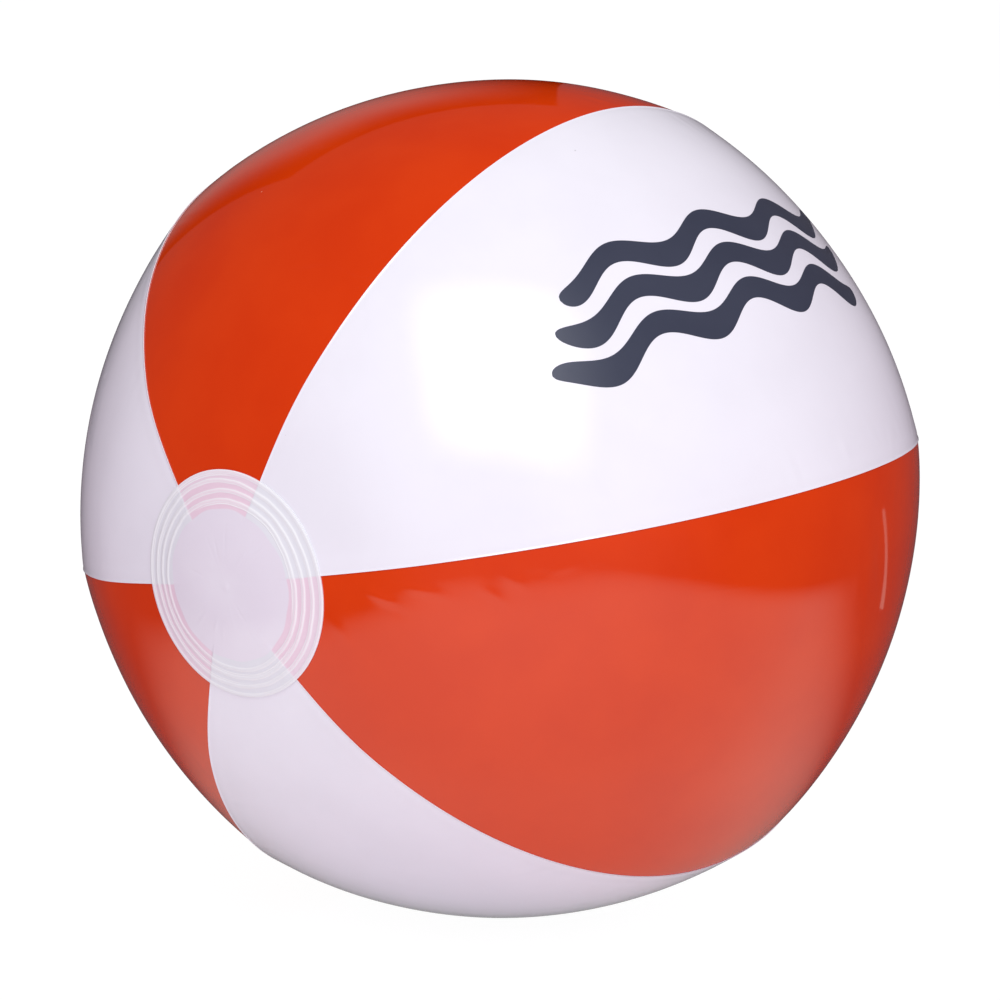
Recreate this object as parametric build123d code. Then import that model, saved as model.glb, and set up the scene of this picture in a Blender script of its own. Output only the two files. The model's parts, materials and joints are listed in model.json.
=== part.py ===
from build123d import *
import os
from math import asin, cos, degrees, radians, sin, sqrt

# Inflatable beach ball, blown up. Millimetres and degrees.
# The origin is the middle of the ball. The pole axis, where the panel tips meet, lies along Y,
# the front pole cap faces -Y, and +Z is up.

# Ball
equator_radius = 128.3       # middle of the ball to the middle of a panel, at the equator
pole_radius = 125.0          # middle of the ball to a pole, where the skin lies flatter
seam_rise = 3.3              # how far a seam stands out past the middle of the panels
film = 0.25                  # thickness of the panel film
panel_count = 6
first_seam = 11.76           # turn of the first seam about the pole axis, from +X towards +Z

# Lap welds: each red panel runs on under both of its white neighbours
lap_width = 3.0              # how far a lap reaches past the seam
lap_root = 1.0               # how far the doubled film runs back under its own panel

# Pole caps
cap_radius = 33.3
cap_film = 0.35
cap_weld_width = 9.8         # how far a cap overlaps the panel tips, all of it weld rings
weld_ring_count = 4
weld_ring_width = 0.8
weld_ring_height = 0.2

# Valve, on the white panel that faces up and back, near the rear pole cap
valve_panel = 1              # which white panel, counted from 0
valve_climb = 50.0           # how far from the equator towards the rear pole
valve_hole_clearance = 0.4   # fold of the strap to the edge of the valve hole
flange_width = 8.0
flange_thickness = 0.8
skirt_depth = 9.0
skirt_wall = 0.6
skirt_gap = 0.05             # skirt to the foot of the stem
stem_bore_radius = 2.5
stem_wall = 1.3
stem_mouth_height = 1.0      # mouth above the skin, with the stem pushed in
lip_width = 1.7              # how far the lip stands out from the stem
lip_thickness = 1.2
foot_width = 0.8             # how far the foot stands out from the stem
foot_thickness = 0.8
edge_round = 0.3             # rounding of the soft moulded edges

# Stopper and its strap
plug_length = 3.5
plug_clearance = 0.06
head_inset = 0.1             # edge of the head to the edge of the lip
head_thickness = 1.5
head_gap = 0.05              # head to the lip it closes on
tab_length = 2.8
tab_width = 4.0
tab_thickness = 0.9
strap_reach = 2.0            # lip edge to the fold of the strap
strap_width = 3.2
strap_thickness = 0.8
strap_fold_gap = 0.65        # between the two legs of the folded strap
strap_gap = 0.05             # strap to the edge of the head

# Check flap under the foot of the stem
flap_cover = 0.9             # how far the flap reaches past the bore
flap_thickness = 0.5
flap_gap = 0.05
flap_tab_width = 2.4

# Values that follow from the ones above
half_panel = 180 / panel_count
panel_turn = 2 * half_panel
seam_radius = equator_radius + seam_rise
seam_inset = equator_radius - seam_radius * cos(radians(half_panel))
seam_half_width = seam_radius * sin(radians(half_panel))
section_radius = (seam_inset**2 + seam_half_width**2) / (2 * seam_inset)
section_half_angle = degrees(asin(seam_half_width / section_radius))
meridian_offset = equator_radius - pole_radius
reach = 2 * seam_radius      # longer than anything it cuts
tip_hole_radius = cap_radius - cap_weld_width
weld_ring_pitch = cap_weld_width / weld_ring_count
stem_radius = stem_bore_radius + stem_wall
lip_radius = stem_radius + lip_width
foot_radius = stem_radius + foot_width
head_radius = lip_radius - head_inset
flap_radius = stem_bore_radius + flap_cover
hinge_offset = lip_radius + strap_reach
hinge_height = stem_mouth_height + head_gap / 2
plug_radius = stem_bore_radius - plug_clearance
plug_swing = hinge_offset + stem_bore_radius - plug_clearance
plug_tip_radius = sqrt(plug_swing**2 - plug_length**2) - hinge_offset
fold_inner_radius = strap_fold_gap / 2
fold_outer_radius = fold_inner_radius + strap_thickness
valve_hole_radius = hinge_offset + fold_outer_radius + valve_hole_clearance
flange_radius = valve_hole_radius + flange_width
foot_top = -film - skirt_depth
foot_bottom = foot_top - foot_thickness


def panel_place(turn):
    """Where a panel modelled with its middle on +X and the front pole on +Z stands on the ball."""
    return Plane(origin=(0, 0, 0), x_dir=(cos(radians(turn)), 0, sin(radians(turn))), z_dir=(0, -1, 0))


def panel_layer(outer, inner):
    """Curved layer between two offsets from a panel's outer face. It runs past both seams."""
    spread = section_half_angle + half_panel / panel_count
    middle = (equator_radius - section_radius, 0)
    far_side = CenterArc(middle, section_radius + outer, -spread, 2 * spread)
    near_side = CenterArc(middle, section_radius + inner, -spread, 2 * spread)
    upper_end = Line(far_side @ 1, near_side @ 1)
    lower_end = Line(far_side @ 0, near_side @ 0)
    section = make_face([far_side, upper_end, near_side, lower_end])
    turn_axis = Axis((meridian_offset, 0, 0), (0, 1, 0))
    arc = 180 + 2 * half_panel
    layer = revolve(section, turn_axis, arc)
    return layer.rotate(turn_axis, -arc / 2)


def panel_wedge():
    """Space between the two seam planes of a panel."""
    side = reach * sin(radians(half_panel)) / cos(radians(half_panel))
    outline = Polyline((0, 0), (reach, -side), (reach, side), close=True)
    return extrude(make_face(outline), amount=reach, both=True)


def seam_slab(low, high):
    """Flat slab along a panel's left seam plane, between two distances past the seam."""
    slab = Pos(reach / 2, (low + high) / 2, 0) * Box(reach, high - low, 2 * reach)
    return Rot(Z=half_panel) * slab


def tip_hole():
    """Round space that the panel tips leave around the pole axis."""
    return Cylinder(tip_hole_radius, 2 * reach)


def white_panel():
    """A white panel: film between its two seams, open at both tips."""
    return panel_layer(0, -film) & (panel_wedge() - tip_hole())


def red_panel():
    """A red panel: its film, and a lap along each seam that lies under the white neighbour."""
    edge_strip = seam_slab(-lap_root, 0) - tip_hole()
    doubled_edge = panel_layer(0, -2 * film) & edge_strip
    neighbour_strip = seam_slab(0, lap_width) - tip_hole()
    tongue = Rot(Z=panel_turn) * panel_layer(-film, -2 * film) & neighbour_strip
    lap = doubled_edge + tongue
    space = panel_wedge() - edge_strip - mirror(edge_strip, about=Plane.XZ) - tip_hole()
    middle = panel_layer(0, -film) & space
    return middle + lap + mirror(lap, about=Plane.XZ)


def pole_cap():
    """Round cap welded over the panel tips, with raised weld rings that follow the panels."""
    disc = Cylinder(cap_radius, reach, align=(Align.CENTER, Align.CENTER, Align.MIN))
    rings = Part()
    for number in range(weld_ring_count):
        outer = cap_radius - number * weld_ring_pitch
        tube = Cylinder(outer, reach, align=(Align.CENTER, Align.CENTER, Align.MIN))
        rings += tube - Cylinder(outer - weld_ring_width, 2 * reach)
    sector = panel_layer(cap_film, 0) & panel_wedge() & disc
    sector += panel_layer(cap_film + weld_ring_height, 0) & panel_wedge() & rings
    cap = Part()
    for number in range(panel_count):
        cap += Rot(Z=number * panel_turn) * sector
    return cap


def valve_place():
    """The valve's own place on its panel: z outwards, x towards the fold of the strap."""
    out = (cos(radians(valve_climb)), 0, -sin(radians(valve_climb)))
    foot_point = (meridian_offset + pole_radius * out[0], 0, pole_radius * out[2])
    return Plane(origin=foot_point, x_dir=(0, -1, 0), z_dir=out)


def valve_hole():
    """Round hole through the panel for the valve."""
    return valve_place() * Cylinder(valve_hole_radius, 2 * flange_radius)


def valve_flange():
    """Ring welded to the inside of the panel around the valve hole."""
    ring = valve_place() * Cylinder(flange_radius, 2 * flange_radius) - valve_hole()
    return panel_layer(-film, -film - flange_thickness) & ring


def turned(points):
    """Solid of revolution about the valve's axis, from points of radius and height."""
    outline = Polyline(*[(radius, 0, height) for radius, height in points], close=True)
    return revolve(make_face(outline), Axis.Z)


def valve_skirt():
    """Thin funnel from the flange down to the foot of the stem. It turns inside out when pulled."""
    rim_drop = valve_hole_radius**2 / (2 * pole_radius)
    rim_top = -film - rim_drop
    rim_bottom = rim_top - flange_thickness
    foot_side = foot_radius + skirt_gap
    return turned([
        (valve_hole_radius - skirt_wall, rim_top),
        (valve_hole_radius, rim_top),
        (valve_hole_radius, rim_bottom),
        (foot_side + skirt_wall, foot_bottom),
        (foot_side, foot_bottom),
        (foot_side, foot_top),
    ])


def valve_stem():
    """Soft tube with a lip at its mouth and a foot for the skirt and the check flap."""
    lip_bottom = stem_mouth_height - lip_thickness
    stem = turned([
        (stem_bore_radius, foot_bottom),
        (foot_radius, foot_bottom),
        (foot_radius, foot_top),
        (stem_radius, foot_top),
        (stem_radius, lip_bottom),
        (lip_radius, lip_bottom),
        (lip_radius, stem_mouth_height),
        (stem_bore_radius, stem_mouth_height),
    ])
    lip_edges = stem.edges().filter_by(GeomType.CIRCLE).group_by(SortBy.RADIUS)[-1]
    stem = fillet(lip_edges, edge_round)
    tab_start = flap_radius + flap_gap
    tab_size = foot_radius - tab_start
    flap_tab = Box(tab_size, flap_tab_width, flap_thickness + flap_gap)
    tab_height = foot_bottom - (flap_thickness + flap_gap) / 2
    flap_tab = Pos(tab_start + tab_size / 2, 0, tab_height) * flap_tab
    return stem + (flap_tab & Cylinder(foot_radius, reach))


def stopper_strap():
    """Band that holds the stopper to the lip and folds over on itself."""
    fold = Cylinder(fold_outer_radius, strap_width, rotation=(90, 0, 0))
    fold -= Cylinder(fold_inner_radius, reach, rotation=(90, 0, 0))
    fold = Pos(hinge_offset, 0, hinge_height) * fold
    fold &= Pos(hinge_offset + reach / 2, 0, 0) * Box(reach, reach, reach)
    leg_height = (fold_outer_radius + fold_inner_radius) / 2
    head_start = head_radius + strap_gap
    lower_leg = Box(hinge_offset, strap_width, strap_thickness)
    lower_leg = Pos(hinge_offset / 2, 0, hinge_height - leg_height) * lower_leg
    lower_leg -= Cylinder(lip_radius, reach)
    upper_leg = Box(hinge_offset, strap_width, strap_thickness)
    upper_leg = Pos(hinge_offset / 2, 0, hinge_height + leg_height) * upper_leg
    upper_leg -= Cylinder(head_start, reach)
    return fold + lower_leg + upper_leg


def valve_stopper():
    """Flat head with a pull tab, and a tapered plug that closes the bore."""
    head_bottom = stem_mouth_height + head_gap
    head_top = head_bottom + head_thickness
    stopper = turned([
        (0, stem_mouth_height - plug_length),
        (plug_tip_radius, stem_mouth_height - plug_length),
        (plug_radius, stem_mouth_height),
        (plug_radius, head_bottom),
        (head_radius, head_bottom),
        (head_radius, head_top),
        (0, head_top),
    ])
    head_edges = stopper.edges().filter_by(GeomType.CIRCLE).group_by(SortBy.RADIUS)[-1]
    stopper = fillet(head_edges, edge_round)
    tab_middle = head_bottom + head_thickness / 2
    tab_reach = head_radius + tab_length - tab_width / 2
    tab = Pos(-tab_reach / 2, 0, tab_middle) * Box(tab_reach, tab_width, tab_thickness)
    tab += Pos(-tab_reach, 0, tab_middle) * Cylinder(tab_width / 2, tab_thickness)
    return stopper + tab


def check_flap():
    """Thin leaf that closes the foot of the bore from the inside."""
    flap_middle = foot_bottom - flap_gap - flap_thickness / 2
    return Pos(0, 0, flap_middle) * Cylinder(flap_radius, flap_thickness)


def write(name, shape):
    """Write one piece under its own name."""
    shape.label = name
    export_step(shape, f"parts/{name}.step")


os.makedirs("parts", exist_ok=True)

white = white_panel()
red = red_panel()
for number in range(panel_count // 2):
    white_place = panel_place(first_seam + half_panel + 2 * number * panel_turn)
    red_place = panel_place(first_seam + half_panel + (2 * number + 1) * panel_turn)
    panel = white - valve_hole() if number == valve_panel else white
    write(f"white_gore_{number + 1}", white_place * panel)
    write(f"red_gore_{number + 1}", red_place * red)

front_place = panel_place(first_seam + half_panel)
cap = pole_cap()
write("front_pole_cap", front_place * cap)
write("rear_pole_cap", front_place * mirror(cap, about=Plane.XY))

valve_panel_place = panel_place(first_seam + half_panel + 2 * valve_panel * panel_turn)
write("valve_flange", valve_panel_place * valve_flange())
stem_place = valve_panel_place.location * valve_place().location
write("valve_skirt", stem_place * valve_skirt())
write("valve_stem", stem_place * valve_stem())
write("stopper_strap", stem_place * stopper_strap())
write("valve_stopper", stem_place * valve_stopper())
write("check_flap", stem_place * check_flap())
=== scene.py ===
import json
import logging
import math
from dataclasses import dataclass, field
from enum import Enum

import bpy
import numpy as np
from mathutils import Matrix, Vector


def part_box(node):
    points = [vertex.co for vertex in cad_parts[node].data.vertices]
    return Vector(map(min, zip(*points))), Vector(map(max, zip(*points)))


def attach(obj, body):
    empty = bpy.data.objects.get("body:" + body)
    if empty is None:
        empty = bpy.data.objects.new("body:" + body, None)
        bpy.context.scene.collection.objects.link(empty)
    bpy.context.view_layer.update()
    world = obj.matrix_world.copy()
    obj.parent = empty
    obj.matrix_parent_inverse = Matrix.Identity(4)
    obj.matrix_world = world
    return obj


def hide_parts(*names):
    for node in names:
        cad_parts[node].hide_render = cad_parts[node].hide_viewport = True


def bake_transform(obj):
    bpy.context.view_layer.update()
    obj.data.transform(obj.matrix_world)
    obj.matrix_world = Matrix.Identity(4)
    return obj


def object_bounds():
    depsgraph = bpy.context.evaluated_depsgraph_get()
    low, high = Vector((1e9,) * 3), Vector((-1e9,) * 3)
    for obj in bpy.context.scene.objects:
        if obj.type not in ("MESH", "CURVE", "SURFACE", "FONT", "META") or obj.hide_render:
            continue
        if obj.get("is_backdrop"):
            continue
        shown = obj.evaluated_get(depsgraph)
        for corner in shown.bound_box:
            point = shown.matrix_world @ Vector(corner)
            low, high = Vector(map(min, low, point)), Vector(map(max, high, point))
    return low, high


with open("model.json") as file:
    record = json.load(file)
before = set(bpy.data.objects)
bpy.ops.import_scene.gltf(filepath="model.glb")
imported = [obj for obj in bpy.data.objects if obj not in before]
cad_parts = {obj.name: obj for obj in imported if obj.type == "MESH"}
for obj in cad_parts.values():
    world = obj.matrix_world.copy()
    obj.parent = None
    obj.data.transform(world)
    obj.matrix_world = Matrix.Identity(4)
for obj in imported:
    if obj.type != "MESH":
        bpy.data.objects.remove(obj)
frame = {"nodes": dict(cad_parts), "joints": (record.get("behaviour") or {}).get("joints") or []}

# Inflatable beach ball, blown up: six welded film panels, two pole caps, a printed wave motif
# and an air valve with its stopper. Metres and radians. The pole axis lies along Y, the front
# pole cap faces -Y and +Z is up, as in the CAD model that the pieces stand in.

CAD_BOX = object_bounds()
LOG = logging.getLogger("beach_ball")
MM = 0.001
SHARP_EDGE = math.radians(50)


class FilmColour(Enum):
    """Which film a panel is cut from."""

    WHITE = "white"
    RED = "red"


class Slot(Enum):
    """Material slots of the record."""

    RED_FILM = "red_film"
    WHITE_FILM = "white_film"
    CAP_FILM = "cap_film"
    VALVE_FILM = "valve_film"
    PRINT_INK = "print_ink"


# ---------------------------------------------------------------------------
# Small helpers


def smooth_step(value: np.ndarray, low: float, high: float) -> np.ndarray:
    """Soft step from 0 to 1.

    Args:
        value: Where to look.
        low: Value at which the step starts.
        high: Value at which the step is complete.

    Returns:
        The height of the step at each value.
    """
    share = np.clip((value - low) / (high - low), 0.0, 1.0)
    return share * share * (3.0 - 2.0 * share)


def unit(vector: np.ndarray) -> np.ndarray:
    """The same direction with length one."""
    return vector / np.linalg.norm(vector, axis=-1, keepdims=True)


def seen_colour(red: int, green: int, blue: int) -> tuple[float, float, float, float]:
    """Turns a colour as the eye reads it, 0 to 255, into the linear colour of a shader.

    Args:
        red: Share of red.
        green: Share of green.
        blue: Share of blue.

    Returns:
        The colour, with full alpha.
    """
    shares = [channel / 255 for channel in (red, green, blue)]
    linear = [s / 12.92 if s <= 0.04045 else ((s + 0.055) / 1.055) ** 2.4 for s in shares]
    return (linear[0], linear[1], linear[2], 1.0)


def direction(azimuth: float, elevation: float) -> np.ndarray:
    """Unit vector towards a place round the ball.

    Args:
        azimuth: Degrees, 0 towards -Y and 90 towards +X.
        elevation: Degrees above the horizon.

    Returns:
        The unit vector.
    """
    a = math.radians(azimuth)
    e = math.radians(elevation)
    return np.array([math.sin(a) * math.cos(e), -math.cos(a) * math.cos(e), math.sin(e)])


# ---------------------------------------------------------------------------
# Meshes


def grid_faces(rows: int, columns: int, around: bool = False) -> np.ndarray:
    """Four-cornered faces of a grid of points stored row by row.

    Args:
        rows: Number of rows of points.
        columns: Number of points in a row.
        around: Whether the last column joins the first.

    Returns:
        One line of four point numbers for each face.
    """
    last = columns if around else columns - 1
    row, column = np.meshgrid(np.arange(rows - 1), np.arange(last), indexing="ij")
    following = (column + 1) % columns
    corners = [
        row * columns + column,
        row * columns + following,
        (row + 1) * columns + following,
        (row + 1) * columns + column,
    ]
    return np.stack([corner.ravel() for corner in corners], axis=1)


def closed_faces(outer: list[np.ndarray], count: int) -> list[list[int]]:
    """Faces of a closed film whose inner points follow its outer points in the same order.

    Args:
        outer: Groups of faces of the outer side, each group with one number of corners.
        count: Number of points on the outer side.

    Returns:
        Outer faces, inner faces and the walls along every open edge.
    """
    faces = [face for group in outer for face in group.tolist()]
    inner = [[corner + count for corner in reversed(face)] for face in faces]
    starts = np.concatenate([group.ravel() for group in outer])
    ends = np.concatenate([np.roll(group, -1, axis=1).ravel() for group in outer])
    total = 2 * count
    is_open = ~np.isin(starts * total + ends, ends * total + starts)
    pairs = zip(starts[is_open].tolist(), ends[is_open].tolist())
    walls = [[end, start, start + count, end + count] for start, end in pairs]
    return faces + inner + walls


def new_object(name: str, points: np.ndarray, faces: list[list[int]]) -> bpy.types.Object:
    """Adds a smooth mesh object with its points in the shared frame.

    Args:
        name: Name of the piece.
        points: Its points, three numbers each.
        faces: Its faces, as point numbers.

    Returns:
        The new object.
    """
    mesh = bpy.data.meshes.new(name)
    mesh.from_pydata(points.reshape(-1, 3).tolist(), [], faces)
    mesh.update()
    mesh.polygons.foreach_set("use_smooth", np.ones(len(mesh.polygons), dtype=bool))
    mesh.set_sharp_from_angle(angle=SHARP_EDGE)
    made = bpy.data.objects.new(name, mesh)
    bpy.context.scene.collection.objects.link(made)
    return made


def note_on_points(piece: bpy.types.Object, name: str, values: np.ndarray) -> None:
    """Stores one number for each point of a piece, for its finish to read."""
    attribute = piece.data.attributes.new(name, "FLOAT", "POINT")
    attribute.data.foreach_set("value", values.astype(np.float32).ravel())


def dress(piece: bpy.types.Object, finish: bpy.types.Material) -> None:
    """Gives a piece its finish.

    Args:
        piece: The piece.
        finish: The material it gets.
    """
    piece.data.materials.clear()
    piece.data.materials.append(finish)


# ---------------------------------------------------------------------------
# The shape of the blown-up skin


@dataclass(frozen=True)
class BallShape:
    """Sizes that the welded pieces share. The overall ones are read from the CAD model.

    Attributes:
        pole_radius: Distance from the middle of the ball to a pole, under the cap.
        cap_radius: Radius of a pole cap.
        first_seam: Angle of the first seam round the pole axis, from X towards Z.
        panel_count: Number of panels.
        seam_rise: How far a seam stands out past the middle of the panels.
        film: Thickness of the panel film.
        cap_film: Thickness of the cap film.
        cap_weld_width: How far a cap overlaps the panel tips.
        lap_width: How far a red panel runs on under its white neighbour.
    """

    pole_radius: float
    cap_radius: float
    first_seam: float = math.radians(11.76)
    panel_count: int = 6
    seam_rise: float = 3.3 * MM
    film: float = 0.25 * MM
    cap_film: float = 0.35 * MM
    cap_weld_width: float = 9.8 * MM
    lap_width: float = 3.0 * MM

    @classmethod
    def from_frame(cls) -> "BallShape":
        """Reads the pole radius and the cap radius from the front pole cap."""
        low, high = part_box("front_pole_cap")
        return cls(pole_radius=-low.y - cls.cap_film, cap_radius=(high.x - low.x) / 2)

    @property
    def half_panel(self) -> float:
        """Half the angle that a panel takes round the pole axis."""
        return math.pi / self.panel_count

    @property
    def section_radius(self) -> float:
        """Radius of a panel's cross-section, which is flatter than the ball.

        Returns:
            The radius.
        """
        equator = self.pole_radius + self.seam_rise
        seam = equator + self.seam_rise
        inset = equator - seam * math.cos(self.half_panel)
        half_width = seam * math.sin(self.half_panel)
        return (inset**2 + half_width**2) / (2 * inset)

    @property
    def tip_hole_radius(self) -> float:
        """Radius of the round space between the panel tips."""
        return self.cap_radius - self.cap_weld_width

    def panel_turn(self, panel: int) -> float:
        """Angle of a panel's middle round the pole axis."""
        return self.first_seam + (2 * panel + 1) * self.half_panel


@dataclass(frozen=True)
class Pucker:
    """One crease pressed into the film beside a seam.

    Attributes:
        seam: Number of the seam.
        along: Distance from the equator along the seam, towards the front pole.
        across: Distance from the seam, positive towards the next panel round.
        turn: Direction of the crease. 0 runs along the seam.
        length: Half length of the crease.
        width: Half width of the crease.
        height: Height of its middle.
        ripple: Distance between its side ripples. 0 leaves a single crease.
    """

    seam: int
    along: float
    across: float
    turn: float
    length: float
    width: float
    height: float
    ripple: float = 0.0

    def relief(self, along: np.ndarray, across: np.ndarray) -> np.ndarray:
        """Height that the crease adds at each place.

        Args:
            along: Distance from the equator along the panel, towards the front pole.
            across: Distance from the seam.

        Returns:
            The height.
        """
        step_along = along - self.along
        step_across = across - self.across
        lengthways = step_along * math.cos(self.turn) + step_across * math.sin(self.turn)
        sideways = step_across * math.cos(self.turn) - step_along * math.sin(self.turn)
        fade = np.exp(-0.5 * ((lengthways / self.length) ** 2 + (sideways / self.width) ** 2))
        if self.ripple:
            fade = fade * np.cos(2 * math.pi * sideways / self.ripple)
        return self.height * fade


@dataclass
class SeamPuckers:
    """All the creases that the seams pull into the film.

    Attributes:
        shape: The ball's sizes.
        per_seam: How many small creases lie along each seam.
        seed: Start of the random draws.
        creases: The creases, made when the object is.
    """

    shape: BallShape
    per_seam: int = 44
    seed: int = 11
    creases: list[Pucker] = field(default_factory=list)

    def __post_init__(self) -> None:
        """Draws the small creases and adds the larger ones, listed one by one."""
        draw = np.random.default_rng(self.seed)
        for seam in range(self.shape.panel_count):
            for _ in range(self.per_seam):
                self.creases.append(self.small_crease(draw, seam))
        self.creases.extend(self.front_creases())
        self.creases.extend(self.side_creases())

    def small_crease(self, draw: np.random.Generator, seam: int) -> Pucker:
        """Draws one small crease beside a seam.

        Args:
            draw: Source of the random numbers.
            seam: Number of the seam.

        Returns:
            The crease.
        """
        side = draw.choice([-1.0, 1.0])
        ripple = draw.uniform(5.0, 9.0) * MM
        return Pucker(
            seam=seam,
            along=draw.uniform(-150, 150) * MM,
            across=side * draw.uniform(4.0, 10.0) * MM,
            turn=math.radians(90 + side * draw.uniform(-38, 38)),
            length=draw.uniform(3.0, 7.0) * MM,
            width=ripple * draw.uniform(0.3, 0.6),
            height=draw.uniform(0.008, 0.035) * MM,
            ripple=ripple,
        )

    def front_creases(self) -> list[Pucker]:
        """Long slanting creases under the first seam, between the front cap and the middle.

        Returns:
            The creases.
        """
        places = [
            (161.5, -15.2, 49, 4.2, 0.8, 0.17),
            (151.0, -7.8, 30, 5.4, 0.8, 0.16),
            (146.0, -11.0, 45, 3.4, 0.9, -0.12),
            (139.0, -7.6, 24, 4.6, 1.0, 0.11),
            (119.5, -12.0, 40, 3.4, 0.8, 0.13),
            (115.2, -8.3, 41, 3.0, 0.8, 0.10),
            (108.0, -7.4, 12, 5.0, 1.2, -0.03),
            (101.0, -6.2, -20, 4.0, 1.1, 0.03),
        ]
        return [self.placed(0, *place) for place in places]

    def side_creases(self) -> list[Pucker]:
        """Short creases across the same seam near the equator.

        Returns:
            The creases.
        """
        places = [
            (24.0, 6.0, 84, 3.6, 0.7, 0.13),
            (21.5, 6.5, 88, 4.2, 0.8, -0.12),
            (-3.0, 7.5, 80, 3.0, 0.9, 0.12),
            (-6.0, -26.0, 86, 7.0, 1.6, 0.10),
            (-12.0, -30.0, 84, 9.0, 2.2, 0.12),
            (-19.0, -27.0, 80, 8.0, 2.0, -0.10),
        ]
        return [self.placed(0, *place) for place in places]

    def placed(
        self, seam: int, along: float, across: float, turn: float, length: float, width: float, height: float
    ) -> Pucker:
        """A crease at a given place, in millimetres and degrees."""
        return Pucker(seam, along * MM, across * MM, math.radians(turn), length * MM, width * MM, height * MM)

    def relief(self, seam: int, along: np.ndarray, across: np.ndarray) -> np.ndarray:
        """Height that all the creases of one seam add at each place.

        Args:
            seam: Number of the seam.
            along: Distance from the equator along the panel, towards the front pole.
            across: Distance from the seam.

        Returns:
            The height.
        """
        total = np.zeros_like(along)
        for crease in self.creases:
            if crease.seam == seam:
                total += crease.relief(along, across)
        return total


@dataclass
class ValvePlace:
    """Where the valve stands, read from the joints of the CAD model.

    Attributes:
        hinge_offset: Distance of the stopper's hinge from the valve's axis.
        hinge_height: Height of the hinge over the skin.
        hinge: A point on the stopper's hinge.
        out: Direction of the valve's axis, out of the ball.
        side: Direction of the hinge's axis.
        fold: Direction from the valve's axis towards the fold of the strap.
        origin: Where the valve's axis meets the skin.
    """

    hinge_offset: float = 7.5 * MM
    hinge_height: float = 1.025 * MM
    hinge: np.ndarray = field(init=False)
    out: np.ndarray = field(init=False)
    side: np.ndarray = field(init=False)
    fold: np.ndarray = field(init=False)
    origin: np.ndarray = field(init=False)

    def __post_init__(self) -> None:
        """Reads the axes from the slide of the stem and the hinge of the stopper."""
        joints = {joint["name"]: joint for joint in frame["joints"]}
        self.hinge = np.array(joints["stopper_hinge"]["pos_m"])
        self.out = unit(np.array(joints["valve_stem_slide"]["axis"]))
        self.side = unit(np.array(joints["stopper_hinge"]["axis"]))
        self.fold = np.cross(self.side, self.out)
        self.origin = self.hinge - self.hinge_offset * self.fold - self.hinge_height * self.out

    def to_frame(self, fold: np.ndarray, side: np.ndarray, out: np.ndarray) -> np.ndarray:
        """Points in the shared frame, from distances along the valve's own axes.

        Args:
            fold: Distances towards the fold of the strap.
            side: Distances along the hinge.
            out: Distances out of the ball.

        Returns:
            The points.
        """
        along_fold = np.multiply.outer(fold, self.fold)
        along_side = np.multiply.outer(side, self.side)
        return self.origin + along_fold + along_side + np.multiply.outer(out, self.out)

    def distance(self, points: np.ndarray) -> np.ndarray:
        """Distance of each point from the valve's axis.

        Args:
            points: Places to measure.

        Returns:
            The distances.
        """
        offset = points - self.origin
        height = offset @ self.out
        return np.linalg.norm(offset - height[..., None] * self.out, axis=-1)


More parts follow.
